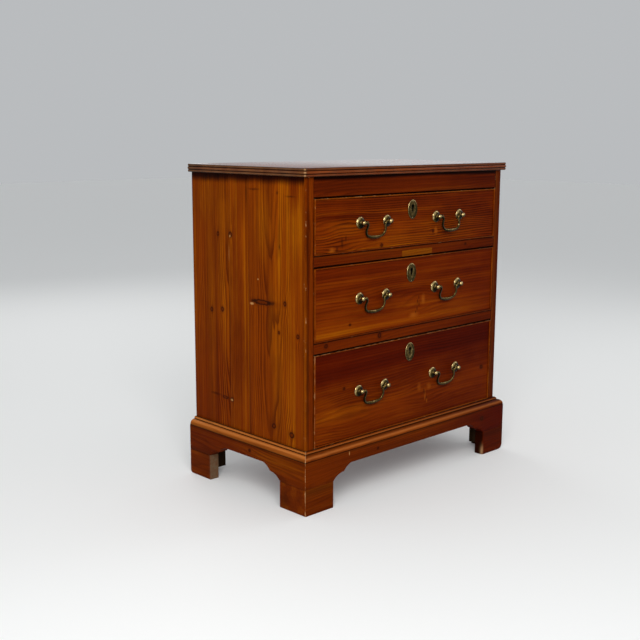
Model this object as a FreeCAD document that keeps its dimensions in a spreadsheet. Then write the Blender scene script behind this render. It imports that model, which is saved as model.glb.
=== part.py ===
import FreeCAD, Part
import math
import os
import re
import Sketcher

# Bachelor's chest in waxed pine: three long drawers on a moulded plinth with bracket feet,
# brass swan-neck handles and oval escutcheons, and a half-mortise lock in each drawer.
# Millimetres. -Y is the front, +X the right-hand side seen from the front, +Z up.
# The origin is on the floor, under the middle of the chest's box.

SIZES = {
    # carcase
    "case_width": 687,
    "case_depth": 397,
    "side_thickness": 22,
    "stile_width": 23.5,
    "stile_thickness": 6,
    "stile_round": 1.5,
    "housing_depth": 7,
    "rail_thickness": 23,
    "rail_depth": 60,
    "top_rail_height": 43.3,
    "top_rail_thickness": 20,
    "runner_width": 32,
    "kicker_height": 18,
    "back_thickness": 10,
    "back_rebate": 10,
    "back_board_count": 4,
    "back_board_gap": 0.8,
    "back_rail_height": 42,
    "back_rail_thickness": 18,
    "stop_height": 6,
    "stop_length": 30,
    "stop_width": 14,
    "stop_spacing": 300,
    "stop_clearance": 0.3,
    # top board
    "top_thickness": 19.3,
    "top_side_overhang": 12,
    "top_front_overhang": 9.6,
    "reed_depth": 2.2,
    "reed_step": 1.0,
    # plinth, feet and base moulding
    "plinth_height": 123,
    "plinth_projection": 20.5,
    "plinth_thickness": 25,
    "plinth_board_height": 61,
    "front_foot_width": 87,
    "side_foot_width": 84,
    "rear_foot_width": 80,
    "apron_depth": 29,
    "cove_run": 34,
    "upper_cove_run": 23.5,
    "cove_radius": 44,
    "rear_bracket_width": 70,
    "rear_bracket_foot": 45,
    "rear_bracket_thickness": 22,
    "foot_block_size": 38,
    "foot_block_lift": 18,
    "bottom_thickness": 19,
    "moulding_quirk": 1.2,
    "moulding_edge": 1.6,
    "ovolo_reach": 11.5,
    "ovolo_radius": 12.5,
    "bead_back": 5,
    "bead_height": 4.6,
    "bead_proud": 1.9,
    "bead_lip": 1.2,
    # drawers
    "lower_drawer_height": 212,
    "middle_drawer_height": 166,
    "upper_drawer_height": 123.5,
    "drawer_top_gap": 3,
    "drawer_side_gap": 1.2,
    "running_clearance": 0.3,
    "drawer_back_gap": 8,
    "drawer_front_thickness": 20,
    "drawer_side_thickness": 10,
    "drawer_side_drop": 4,
    "drawer_back_thickness": 10,
    "drawer_back_drop": 9,
    "drawer_bottom_thickness": 7,
    "drawer_bottom_inset": 12,
    "groove_depth": 5,
    "panel_clearance": 0.5,
    "tail_pitch": 40,
    "tail_width": 27,
    "tail_slope": 6,
    "lap_wall": 1.5,
    "cock_bead_thickness": 3.2,
    "cock_bead_seat": 6,
    "cock_bead_proud": 2.6,
    "cock_bead_nose": 1.44,
    # handles
    "handle_spacing": 88.9,
    "handle_offset": 132,
    "handle_rise": 2.5,
    "rose_diameter": 28,
    "rose_thickness": 4.2,
    "rose_edge": 1.2,
    "rose_boss_diameter": 12,
    "rose_dome_radius": 14,
    "post_reach": 11,
    "post_ball_diameter": 11,
    "post_neck_diameter": 7,
    "shank_diameter": 6,
    "shank_clearance": 0.25,
    "nut_width": 12,
    "nut_thickness": 4,
    "nut_clearance": 0.1,
    "shank_tip": 2,
    "pin_diameter": 3.8,
    "pin_clearance": 0.05,
    "pin_tip": 3.5,
    "shoulder_diameter": 6.6,
    "shoulder_gap": 0.8,
    "bail_diameter": 4.4,
    "grip_diameter": 6.6,
    "bail_bend_radius": 6,
    "bail_flare_radius": 14,
    "bail_flare_angle": 25,
    "bail_corner_radius": 15,
    "grip_dip_angle": 12,
    "bail_gap": 0.4,
    # escutcheons and locks
    "escutcheon_width": 33,
    "escutcheon_height": 45,
    "escutcheon_thickness": 1.6,
    "escutcheon_rim": 2.4,
    "escutcheon_hollow": 0.7,
    "escutcheon_drop": 37.5,
    "keyhole_diameter": 7.6,
    "keyhole_slot": 4.2,
    "keyhole_height": 16,
    "keyhole_rise": 11.5,
    "lock_width": 62,
    "lock_height": 54,
    "lock_depth": 10,
    "bolt_width": 22,
    "bolt_thickness": 4.4,
    "bolt_length": 25,
    "bolt_clearance": 0.3,
    "bolt_entry": 8,
    "mortise_clearance": 1.6,
    "key_chamber_width": 15,
    "key_chamber_height": 20,
}

doc = FreeCAD.newDocument("bachelors_chest")
dims = doc.addObject("Spreadsheet::Sheet", "dims")
for row, (alias, size) in enumerate(SIZES.items(), 1):
    dims.set(f"A{row}", alias)
    dims.set(f"B{row}", str(size))
    dims.setAlias(f"B{row}", alias)
doc.recompute()

nodes = {}


def bound(text):
    """Expression over the sheet: each size named in the text becomes its cell."""
    return re.sub(r"[a-z_]+", lambda word: f"dims.{word[0]}" if word[0] in SIZES else word[0], text)


def value(text):
    """Number that an expression over the sheet gives."""
    return float(dims.evalExpression(bound(text)))


def vector(at):
    """Point given as three expressions."""
    return FreeCAD.Vector(*(value(text) for text in at))


def place(piece, at):
    """Bind a piece's place to three expressions."""
    for axis, text in zip("xyz", at):
        piece.setExpression(f"Placement.Base.{axis}", bound(text))


def node(name, piece):
    """Name a finished sub-part and keep it for export."""
    piece.Label = name
    nodes[name] = piece
    return piece


def block(name, low, high):
    """Box between two corners, each given as three expressions."""
    box = doc.addObject("Part::Box", name)
    for size, start, end in zip(("Length", "Width", "Height"), low, high):
        box.setExpression(size, bound(f"({end}) - ({start})"))
    place(box, low)
    return box


def bore(name, diameter, length, at):
    """Cylinder from a point towards +Y."""
    cylinder = doc.addObject("Part::Cylinder", name)
    cylinder.Placement.Rotation = FreeCAD.Rotation(FreeCAD.Vector(1, 0, 0), -90)
    cylinder.setExpression("Radius", bound(f"({diameter}) / 2"))
    cylinder.setExpression("Height", bound(length))
    place(cylinder, at)
    return cylinder


def fuse(name, pieces):
    """Several shapes as one."""
    union = doc.addObject("Part::MultiFuse", name)
    union.Shapes = pieces
    return union


def cut(name, base, tools):
    """A shape with others taken out of it."""
    result = doc.addObject("Part::Cut", name)
    result.Base = base
    result.Tool = tools[0] if len(tools) == 1 else fuse(name + "_tools", tools)
    return result


def mirrored(name, source):
    """The same piece on the other side of the chest's middle."""
    twin = doc.addObject("Part::Mirroring", name)
    twin.Source = source
    twin.Base = (0, 0, 0)
    twin.Normal = (1, 0, 0)
    return twin


def group(name, pieces):
    """Like pieces that share a node, each still a solid of its own."""
    compound = doc.addObject("Part::Compound", name)
    compound.Links = pieces
    return compound


def arc_between(start, end, radius, turn):
    """Arc of under half a circle: anticlockwise travel for a turn of 1, clockwise for -1."""
    chord = end - start
    left = FreeCAD.Vector(-chord.y, chord.x, 0).normalize()
    height = math.sqrt(radius ** 2 - (chord.Length / 2) ** 2)
    centre = (start + end) / 2 + left * height * turn
    first, last = (start, end) if turn > 0 else (end, start)
    angles = [math.atan2(point.y - centre.y, point.x - centre.x) for point in (first, last)]
    if angles[1] < angles[0]:
        angles[1] += 2 * math.pi
    circle = Part.Circle(centre, FreeCAD.Vector(0, 0, 1), radius)
    return Part.ArcOfCircle(circle, angles[0], angles[1])


def draw(body, plane, path):
    """Closed sketch on an origin plane of the body.

    A corner of the path is (u, v), with a straight side to the next corner, or
    (u, v, radius, turn), with an arc to the next corner.
    """
    sketch = body.newObject("Sketcher::SketchObject", body.Name + "_sketch")
    planes = {feature.Role: feature for feature in body.Origin.OriginFeatures}
    sketch.AttachmentSupport = (planes[plane], "")
    sketch.MapMode = "FlatFace"
    corners = [FreeCAD.Vector(value(corner[0]), value(corner[1]), 0) for corner in path]
    constraints = []
    formulas = []
    ends = []

    def tie(formula, *constraint):
        formulas.append((len(constraints), formula))
        constraints.append(Sketcher.Constraint(*constraint, value(formula)))

    for side, corner in enumerate(path):
        start = corners[side]
        end = corners[(side + 1) % len(path)]
        if len(corner) == 2:
            sketch.addGeometry(Part.LineSegment(start, end))
            ends.append((1, 2))
        else:
            sketch.addGeometry(arc_between(start, end, value(corner[2]), corner[3]))
            ends.append((1, 2) if corner[3] > 0 else (2, 1))
            tie(corner[2], "Radius", side)
        tie(corner[0], "DistanceX", -1, 1, side, ends[side][0])
        tie(corner[1], "DistanceY", -1, 1, side, ends[side][0])
    for side in range(len(path)):
        after = (side + 1) % len(path)
        constraints.append(Sketcher.Constraint("Coincident", side, ends[side][1], after, ends[after][0]))
    sketch.addConstraint(constraints)
    for number, formula in formulas:
        sketch.setExpression(f"Constraints[{number}]", bound(formula))
    return sketch


def padded(name, plane, path, depth, at, reverse=False):
    """Body made by padding one outline from an origin plane."""
    body = doc.addObject("PartDesign::Body", name)
    pad = body.newObject("PartDesign::Pad", name + "_pad")
    pad.Profile = draw(body, plane, path)
    pad.setExpression("Length", bound(depth))
    pad.Reversed = reverse
    place(body, at)
    return body


def cut_through(body, plane, path):
    """Pocket right through a body, both ways from an origin plane."""
    pocket = body.newObject("PartDesign::Pocket", body.Name + "_pocket")
    pocket.Profile = draw(body, plane, path)
    pocket.Type = "ThroughAll"
    pocket.SideType = "Symmetric"


def bulge_radius(width, height):
    """Radius of an arc that spans a width and stands out by a height."""
    return f"((({width}) / 2) ^ 2 + ({height}) ^ 2) / (2 * ({height}))"


# Planes and levels that the pieces share
HALF = "(case_width / 2)"
INNER = "(case_width / 2 - side_thickness)"
FRONT = "((plinth_projection - case_depth) / 2)"
BACK = "((plinth_projection + case_depth) / 2)"
STILE_BACK = f"({FRONT} + stile_thickness)"
BACK_INSIDE = f"({BACK} - back_thickness)"
BASE_TOP = "(plinth_height + bottom_thickness)"
LOWER_RAIL = f"({BASE_TOP} + running_clearance + lower_drawer_height + drawer_top_gap)"
MIDDLE_FLOOR = f"({LOWER_RAIL} + rail_thickness)"
UPPER_RAIL = f"({MIDDLE_FLOOR} + running_clearance + middle_drawer_height + drawer_top_gap)"
UPPER_FLOOR = f"({UPPER_RAIL} + rail_thickness)"
TOP_RAIL = f"({UPPER_FLOOR} + running_clearance + upper_drawer_height + drawer_top_gap)"
CASE_TOP = f"({TOP_RAIL} + top_rail_height)"
DRAWER_HALF = f"({HALF} - stile_width - drawer_side_gap)"
LOCK_MIDDLE = f"({FRONT} + drawer_front_thickness - lock_depth / 2)"


# Top board: reeded on the front and both ends, plain at the back
TOP_HALF = f"({HALF} + top_side_overhang)"
TOP_FRONT = f"({FRONT} - top_front_overhang)"


def reeds(edge, outward):
    """Path up an edge of three reeds, the middle one standing out further."""
    outer = f"({edge}) - ({outward}) * (reed_depth + reed_step)"
    middle = f"({edge}) - ({outward}) * reed_depth"
    radius = bulge_radius("top_thickness / 3", "reed_depth")
    third = "top_thickness / 3"
    return [
        (outer, "0", radius, outward),
        (outer, third),
        (middle, third, radius, outward),
        (middle, f"2 * {third}"),
        (outer, f"2 * {third}", radius, outward),
        (outer, "top_thickness"),
    ]


top_plan = [
    (f"-{TOP_HALF}", TOP_FRONT),
    (TOP_HALF, TOP_FRONT),
    (TOP_HALF, BACK),
    (f"-{TOP_HALF}", BACK),
]
top_board = padded("top_board", "XY_Plane", top_plan, "top_thickness", ("0", "0", CASE_TOP))
for edge, plane, outward in ((TOP_HALF, "XZ_Plane", 1), (f"-{TOP_HALF}", "XZ_Plane", -1),
                             (TOP_FRONT, "YZ_Plane", -1)):
    clear = f"{edge} + ({outward}) * top_thickness"
    cut_through(top_board, plane, reeds(edge, outward) + [(clear, "top_thickness"), (clear, "0")])
node("top_board", top_board)


# Side boards: housed for the rails, runners and bottom, and rebated for the back boards
def housing(name, low, high, front, back):
    """Housing in the inner face of the left side board."""
    return block(name, (f"-{INNER} - housing_depth", front, low), (f"-{INNER}", back, high))


left_blank = block("left_side_blank", (f"-{HALF}", STILE_BACK, "plinth_height"),
                   (f"-{INNER}", BACK, CASE_TOP))
left_side = cut("left_side", left_blank, [
    housing("bottom_housing", "plinth_height", BASE_TOP, STILE_BACK, BACK_INSIDE),
    housing("lower_rail_housing", LOWER_RAIL, MIDDLE_FLOOR, STILE_BACK, BACK_INSIDE),
    housing("upper_rail_housing", UPPER_RAIL, UPPER_FLOOR, STILE_BACK, BACK_INSIDE),
    housing("top_rail_housing", TOP_RAIL, CASE_TOP, STILE_BACK, f"{FRONT} + top_rail_thickness"),
    housing("back_rail_housing", f"{CASE_TOP} - back_rail_height", CASE_TOP,
            f"{BACK_INSIDE} - back_rail_thickness", BACK_INSIDE),
    block("back_rebate_cut", (f"-{INNER} - back_rebate", BACK_INSIDE, "plinth_height"),
          (f"-{INNER}", BACK, CASE_TOP)),
])
node("left_side", left_side)
node("right_side", mirrored("right_side", left_side))


# Stiles: facing strips on the front edges of the sides, their outer corners worn round
stile_plan = [
    (f"-{HALF} + stile_width", STILE_BACK),
    (f"-{HALF}", STILE_BACK),
    (f"-{HALF}", f"{FRONT} + stile_round", "stile_round", 1),
    (f"-{HALF} + stile_round", FRONT),
    (f"-{HALF} + stile_width", FRONT),
]
left_stile = padded("left_stile", "XY_Plane", stile_plan, f"{CASE_TOP} - plinth_height",
                    ("0", "0", "plinth_height"))
node("left_stile", left_stile)
node("right_stile", mirrored("right_stile", left_stile))


# Bottom board and rails: each shows between the stiles and is housed in the sides behind them
def housed_board(name, back, low, height):
    """Board from the front of the case to a plane, with shoulders behind the stiles."""
    shown = f"{HALF} - stile_width"
    housed = f"{INNER} + housing_depth"
    plan = [
        (f"-({shown})", FRONT),
        (shown, FRONT),
        (shown, STILE_BACK),
        (housed, STILE_BACK),
        (housed, back),
        (f"-({housed})", back),
        (f"-({housed})", STILE_BACK),
        (f"-({shown})", STILE_BACK),
    ]
    return padded(name, "XY_Plane", plan, height, ("0", "0", low))


def mortise(name, level):
    """Mortise in the underside of a rail, where the lock bolt of the drawer below goes in."""
    half_width = "bolt_width / 2 + mortise_clearance"
    half_depth = "bolt_thickness / 2 + mortise_clearance"
    return block(name, (f"-({half_width})", f"{LOCK_MIDDLE} - ({half_depth})", level),
                 (half_width, f"{LOCK_MIDDLE} + {half_depth}", f"{level} + bolt_entry + mortise_clearance"))


node("bottom_board", housed_board("bottom_board", BACK_INSIDE, "plinth_height", "bottom_thickness"))
for name, level, depth, height in (
    ("lower_drawer_rail", LOWER_RAIL, "rail_depth", "rail_thickness"),
    ("upper_drawer_rail", UPPER_RAIL, "rail_depth", "rail_thickness"),
    ("top_rail", TOP_RAIL, "top_rail_thickness", "top_rail_height"),
):
    rail = housed_board(name + "_blank", f"{FRONT} + {depth}", level, height)
    node(name, cut(name, rail, [mortise(name + "_mortise", level)]))


# Runners behind the drawer rails, and kickers that keep the upper drawer from tipping
def both_sides(name, low, high):
    """A strip along the left side of the case, and its twin on the right."""
    left = block(name + "_left", low, high)
    return [left, mirrored(name + "_right", left)]


runners = []
for name, level in (("lower_runner", LOWER_RAIL), ("upper_runner", UPPER_RAIL)):
    runners += both_sides(name, (f"-{INNER} - housing_depth", f"{FRONT} + rail_depth", level),
                          (f"-{INNER} + runner_width", BACK_INSIDE, f"{level} + rail_thickness"))
node("drawer_runners", group("drawer_runners", runners))
kickers = both_sides("kicker", (f"-{INNER}", f"{FRONT} + top_rail_thickness", TOP_RAIL),
                     (f"-{INNER} + runner_width", f"{BACK_INSIDE} - back_rail_thickness",
                      f"{TOP_RAIL} + kicker_height"))
node("drawer_kickers", group("drawer_kickers", kickers))


# Back rail under the top, and the vertical back boards nailed to it and to the bottom board
BACK_RAIL_HALF = f"({INNER} + housing_depth)"
node("top_back_rail", block(
    "top_back_rail",
    (f"-{BACK_RAIL_HALF}", f"{BACK_INSIDE} - back_rail_thickness", f"{CASE_TOP} - back_rail_height"),
    (BACK_RAIL_HALF, BACK_INSIDE, CASE_TOP)))
BACK_HALF = f"({INNER} + back_rebate)"
BACK_PITCH = f"((2 * {BACK_HALF} + back_board_gap) / back_board_count)"
back_boards = []
for number in range(int(dims.back_board_count)):
    left_edge = f"{number} * {BACK_PITCH} - {BACK_HALF}"
    back_boards.append(block(f"back_board_{number + 1}", (left_edge, BACK_INSIDE, "plinth_height"),
                             (f"{left_edge} + {BACK_PITCH} - back_board_gap", BACK, CASE_TOP)))
node("back_boards", group("back_boards", back_boards))


# Drawer stops: blocks glued behind each drawer front, on the rail or bottom board under it
stops = []
for name, floor in (("lower", BASE_TOP), ("middle", MIDDLE_FLOOR), ("upper", UPPER_FLOOR)):
    stop_front = f"{FRONT} + drawer_front_thickness + stop_clearance"
    stops += both_sides(f"{name}_stop", ("-stop_spacing / 2 - stop_length / 2", stop_front, floor),
                        ("-stop_spacing / 2 + stop_length / 2", f"{stop_front} + stop_width",
                         f"{floor} + stop_height"))
node("drawer_stops", group("drawer_stops", stops))


# Plinth boards: mitred at the front corners, with a two-cove bracket at each foot
PLINTH_HALF = f"({HALF} + plinth_projection)"
PLINTH_FRONT = f"({FRONT} - plinth_projection)"
PLINTH_INSIDE = f"({PLINTH_HALF} - plinth_thickness)"
PLINTH_FRONT_INSIDE = f"({PLINTH_FRONT} + plinth_thickness)"
FOOT_TOP = "(plinth_height - plinth_board_height)"
BRACKET_RISE = "(plinth_board_height - apron_depth)"


def bracket(edge, inward):
    """Corners from the foot's inner edge up two coves to the apron, above the foot's top."""
    turn = -inward
    return [
        (edge, f"-{FOOT_TOP}"),
        (edge, "0", "cove_radius", turn),
        (f"{edge} + ({inward}) * cove_run", f"{BRACKET_RISE} / 2", "cove_radius", turn),
        (f"{edge} + ({inward}) * (cove_run + upper_cove_run)", BRACKET_RISE),
    ]


def arch(first_edge, last_edge):
    """Opening between two feet, from the left or front one to the right or rear one."""
    rising = bracket(first_edge, 1)
    falling = bracket(last_edge, -1)
    down = [falling[3] + ("cove_radius", -1), falling[2][:2] + ("cove_radius", -1)]
    down += [falling[1][:2], falling[0]]
    return rising + down


front_plan = [
    (f"-{PLINTH_HALF}", PLINTH_FRONT),
    (PLINTH_HALF, PLINTH_FRONT),
    (PLINTH_INSIDE, PLINTH_FRONT_INSIDE),
    (f"-{PLINTH_INSIDE}", PLINTH_FRONT_INSIDE),
]
plinth_front = padded("plinth_front", "XY_Plane", front_plan, "plinth_board_height", ("0", "0", FOOT_TOP))
cut_through(plinth_front, "XZ_Plane",
            arch(f"-{PLINTH_HALF} + front_foot_width", f"{PLINTH_HALF} - front_foot_width"))
node("plinth_front", plinth_front)

left_plan = [
    (f"-{PLINTH_HALF}", PLINTH_FRONT),
    (f"-{PLINTH_INSIDE}", PLINTH_FRONT_INSIDE),
    (f"-{PLINTH_INSIDE}", BACK),
    (f"-{PLINTH_HALF}", BACK),
]
plinth_left = padded("plinth_left", "XY_Plane", left_plan, "plinth_board_height", ("0", "0", FOOT_TOP))
cut_through(plinth_left, "YZ_Plane",
            arch(f"{PLINTH_FRONT} + side_foot_width", f"{BACK} - rear_foot_width"))
node("plinth_left", plinth_left)
node("plinth_right", mirrored("plinth_right", plinth_left))


# Feet: boards pieced on under the plinth, mitred at the front corners
GROUND = ("0", "0", "0")
left_foot_face = padded("left_foot_face", "XY_Plane", [
    (f"-{PLINTH_HALF}", PLINTH_FRONT),
    (f"-{PLINTH_HALF} + front_foot_width", PLINTH_FRONT),
    (f"-{PLINTH_HALF} + front_foot_width", PLINTH_FRONT_INSIDE),
    (f"-{PLINTH_INSIDE}", PLINTH_FRONT_INSIDE),
], FOOT_TOP, GROUND)
left_foot_return = padded("left_foot_return", "XY_Plane", [
    (f"-{PLINTH_HALF}", PLINTH_FRONT),
    (f"-{PLINTH_INSIDE}", PLINTH_FRONT_INSIDE),
    (f"-{PLINTH_INSIDE}", f"{PLINTH_FRONT} + side_foot_width"),
    (f"-{PLINTH_HALF}", f"{PLINTH_FRONT} + side_foot_width"),
], FOOT_TOP, GROUND)
front_feet = [left_foot_face, left_foot_return]
front_feet += [mirrored(f"right_{piece.Name[5:]}", piece) for piece in front_feet]
node("front_feet", group("front_feet", front_feet))

# Rear feet, each with a plain bracket across the back that tapers to the floor
rear_feet = both_sides("rear_foot", (f"-{PLINTH_HALF}", f"{BACK} - rear_foot_width", "0"),
                       (f"-{PLINTH_INSIDE}", BACK, FOOT_TOP))
rear_bracket = padded("rear_bracket_left", "XZ_Plane", [
    (f"-{PLINTH_INSIDE}", "0"),
    (f"-{PLINTH_INSIDE} + rear_bracket_foot", "0"),
    (f"-{PLINTH_INSIDE} + rear_bracket_width", FOOT_TOP),
    (f"-{PLINTH_INSIDE} + rear_bracket_width", "plinth_height"),
    (f"-{PLINTH_INSIDE}", "plinth_height"),
], "rear_bracket_thickness", ("0", BACK, "0"))
rear_feet += [rear_bracket, mirrored("rear_bracket_right", rear_bracket)]
node("rear_feet", group("rear_feet", rear_feet))

# Glue blocks in the four corners, clear of the floor
blocks = both_sides("front_foot_block", (f"-{PLINTH_INSIDE}", PLINTH_FRONT_INSIDE, "foot_block_lift"),
                    (f"-{PLINTH_INSIDE} + foot_block_size", f"{PLINTH_FRONT_INSIDE} + foot_block_size",
                     "plinth_height"))
REAR_BLOCK_BACK = f"({BACK} - rear_bracket_thickness)"
blocks += both_sides("rear_foot_block",
                     (f"-{PLINTH_INSIDE}", f"{REAR_BLOCK_BACK} - foot_block_size", "foot_block_lift"),
                     (f"-{PLINTH_INSIDE} + foot_block_size", REAR_BLOCK_BACK, "plinth_height"))
node("foot_blocks", group("foot_blocks", blocks))


# Base mouldings: an ovolo under a small bead, mitred at the front corners
MOULDING_REACH = "(plinth_projection - moulding_quirk)"
MOULDING_HALF = f"({HALF} + {MOULDING_REACH})"
MOULDING_FRONT = f"({FRONT} - {MOULDING_REACH})"


def moulding_waste(face, outward):
    """Outline of what is cut from the blank, outside the moulding's section."""
    def out(reach):
        return f"({face}) + ({outward}) * ({reach})"

    bead_foot = "bottom_thickness - bead_lip - bead_height"
    bead_top = "bottom_thickness - bead_lip"
    return [
        (out("2 * plinth_projection"), "0"),
        (out(MOULDING_REACH), "0"),
        (out(MOULDING_REACH), "moulding_edge", "ovolo_radius", outward),
        (out(f"{MOULDING_REACH} - ovolo_reach"), bead_foot),
        (out("bead_back"), bead_foot, bulge_radius("bead_height", "bead_proud"), outward),
        (out("bead_back"), bead_top),
        (out("bead_back"), "bottom_thickness"),
        (out("2 * plinth_projection"), "bottom_thickness"),
    ]


MOULDING_PLACE = ("0", "0", "plinth_height")
moulding_front = padded("base_moulding_front", "XY_Plane", [
    (f"-{MOULDING_HALF}", MOULDING_FRONT),
    (MOULDING_HALF, MOULDING_FRONT),
    (HALF, FRONT),
    (f"-{HALF}", FRONT),
], "bottom_thickness", MOULDING_PLACE)
cut_through(moulding_front, "YZ_Plane", moulding_waste(FRONT, -1))
node("base_moulding_front", moulding_front)
moulding_left = padded("base_moulding_left", "XY_Plane", [
    (f"-{MOULDING_HALF}", MOULDING_FRONT),
    (f"-{HALF}", FRONT),
    (f"-{HALF}", BACK),
    (f"-{MOULDING_HALF}", BACK),
], "bottom_thickness", MOULDING_PLACE)
cut_through(moulding_left, "XZ_Plane", moulding_waste(f"-{HALF}", -1))
node("base_moulding_left", moulding_left)
node("base_moulding_right", mirrored("base_moulding_right", moulding_left))


# Handle fittings, each turned about the Y axis with its back on the drawer's face at the origin
def turned(name, path):
    """Body revolved about the Y axis from an outline in the XY plane."""
    body = doc.addObject("PartDesign::Body", name)
    sketch = draw(body, "XY_Plane", path)
    turning = body.newObject("PartDesign::Revolution", name + "_turning")
    turning.Profile = sketch
    turning.ReferenceAxis = (sketch, ["V_Axis"])
    turning.Angle = 360
    return body


SHANK_HOLE = "shank_diameter + 2 * shank_clearance"
rose = turned("rose_pattern", [
    (f"({SHANK_HOLE}) / 2", "0"),
    (f"({SHANK_HOLE}) / 2", "-rose_thickness"),
    ("rose_boss_diameter / 2", "-rose_thickness", "rose_dome_radius", 1),
    ("rose_diameter / 2", "-rose_edge"),
    ("rose_diameter / 2", "0"),
])

# The post's shank runs through the drawer front to the nut, and its ball is bored for the bail's pin
NECK_TOP = "post_reach - sqrt((post_ball_diameter / 2) ^ 2 - (post_neck_diameter / 2) ^ 2)"
post = turned("post_pattern", [
    ("0", "drawer_front_thickness + nut_thickness + shank_tip"),
    ("0", "-post_reach - post_ball_diameter / 2", "post_ball_diameter / 2", 1),
    ("post_neck_diameter / 2", f"-({NECK_TOP})"),
    ("post_neck_diameter / 2", "-rose_thickness"),
    ("shank_diameter / 2", "-rose_thickness"),
    ("shank_diameter / 2", "drawer_front_thickness + nut_thickness + shank_tip"),
])
pin_bore = post.newObject("PartDesign::Pocket", "pin_bore")
pin_circle = post.newObject("Sketcher::SketchObject", "pin_circle")
pin_circle.AttachmentSupport = ([f for f in post.Origin.OriginFeatures if f.Role == "YZ_Plane"][0], "")
pin_circle.MapMode = "FlatFace"
pin_centre = FreeCAD.Vector(-dims.post_reach, 0, 0)
pin_radius = "pin_diameter / 2 + pin_clearance"
pin_circle.addGeometry(Part.Circle(pin_centre, FreeCAD.Vector(0, 0, 1), value(pin_radius)))
pin_circle.addConstraint([
    Sketcher.Constraint("Radius", 0, value(pin_radius)),
    Sketcher.Constraint("DistanceX", -1, 1, 0, 3, pin_centre.x),
    Sketcher.Constraint("PointOnObject", 0, 3, -1),
])
pin_circle.setExpression("Constraints[0]", bound(pin_radius))
pin_circle.setExpression("Constraints[1]", bound("-post_reach"))
pin_bore.Profile = pin_circle
pin_bore.Type = "ThroughAll"
pin_bore.SideType = "Symmetric"

NUT_BACK = "drawer_front_thickness + nut_thickness"
nut = cut("nut_pattern",
          block("nut_blank", ("-nut_width / 2", "drawer_front_thickness", "-nut_width / 2"),
                ("nut_width / 2", NUT_BACK, "nut_width / 2")),
          [bore("nut_hole", "shank_diameter + 2 * nut_clearance", NUT_BACK, GROUND)])


def copies(name, pattern, places):
    """Copies of a pattern piece, one at each place."""
    links = []
    for number, at in enumerate(places, 1):
        link = doc.addObject("App::Link", f"{name}_{number}")
        link.LinkedObject = pattern
        place(link, at)
        links.append(link)
    return links


def bail_path():
    """Centre line of a bail from its right shoulder to its left, and its lowest point.

    From each shoulder it bends in and down, flares out again as a swan's neck does,
    turns the corner and dips along the grip. Edges are (start, middle, end) of arcs.
    """
    flare = math.radians(dims.bail_flare_angle)
    dip = math.radians(dims.grip_dip_angle)
    shoulder_x = value("handle_spacing / 2 - post_ball_diameter / 2 - shoulder_gap - shoulder_diameter / 2")
    heading = math.pi
    point = FreeCAD.Vector(shoulder_x, 0, 0)
    half = []

    def go(radius, angle):
        nonlocal point, heading
        side = math.copysign(1, angle)
        centre = point + FreeCAD.Vector(-math.sin(heading), 0, math.cos(heading)) * radius * side
        spoke = point - centre
        stops = []
        for share in (0.5, 1):
            swing = angle * share
            stops.append(centre + FreeCAD.Vector(
                spoke.x * math.cos(swing) - spoke.z * math.sin(swing), 0,
                spoke.x * math.sin(swing) + spoke.z * math.cos(swing)))
        half.append((point, stops[0], stops[1]))
        point = stops[1]
        heading += angle

    go(dims.bail_bend_radius, math.pi / 2)
    go(dims.bail_flare_radius, flare)
    go(dims.bail_corner_radius, dip - math.pi / 2 - flare)
    go(point.x / math.sin(dip), -dip)
    far = [tuple(FreeCAD.Vector(-p.x, 0, p.z) for p in reversed(edge)) for edge in reversed(half)]
    return half, far, point


GRIP_SECTIONS = 9


def bail_solid():
    """Bail hung from the X axis: pins, shoulders, swan necks and a swelled grip."""
    half, far, lowest = bail_path()
    thin = dims.bail_diameter / 2
    thick = dims.grip_diameter / 2
    pieces = []

    def disc(at, along, radius):
        return Part.Wire([Part.makeCircle(radius, at, along)])

    for side, edges in ((1, half[:3]), (-1, far[1:])):
        spine = Part.Wire([Part.Arc(*edge).toShape() for edge in edges])
        first = edges[0][0]
        along = FreeCAD.Vector(-1, 0, 0) if side > 0 else Part.Arc(*edges[0]).tangent(0)[0]
        pieces.append(spine.makePipeShell([disc(first, along, thin)], True, True))
        shoulder = FreeCAD.Vector(side * abs(half[0][0].x), 0, 0)
        pieces.append(Part.makeSphere(dims.shoulder_diameter / 2, shoulder, FreeCAD.Vector(1, 0, 0)))
        tip = value("handle_spacing / 2 + pin_tip") - abs(shoulder.x)
        pieces.append(Part.makeCylinder(dims.pin_diameter / 2, tip, shoulder, FreeCAD.Vector(side, 0, 0)))
    grip_arc = Part.Arc(half[3][0], lowest, far[0][2])
    span = grip_arc.LastParameter - grip_arc.FirstParameter
    sections = []
    for number in range(GRIP_SECTIONS):
        share = number / (GRIP_SECTIONS - 1)
        at = grip_arc.FirstParameter + share * span
        radius = thin + (thick - thin) * math.sin(math.pi * share)
        sections.append(disc(grip_arc.value(at), grip_arc.tangent(at)[0], radius))
    pieces.append(Part.makeLoft(sections, True))
    return pieces[0].fuse(pieces[1:]).removeSplitter().Solids[0]


# Drawers: lapped dovetails at the front, through dovetails at the back, a bottom slid into grooves
DRAWER_BACK = f"({BACK_INSIDE} - drawer_back_gap)"
FRONT_INSIDE = f"({FRONT} + drawer_front_thickness)"
TAIL_FRONT = f"({FRONT} + cock_bead_seat + lap_wall)"
TAIL_BACK = f"({DRAWER_BACK} - drawer_back_thickness)"
BEAD_BACK = f"({FRONT} + cock_bead_seat)"


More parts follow.
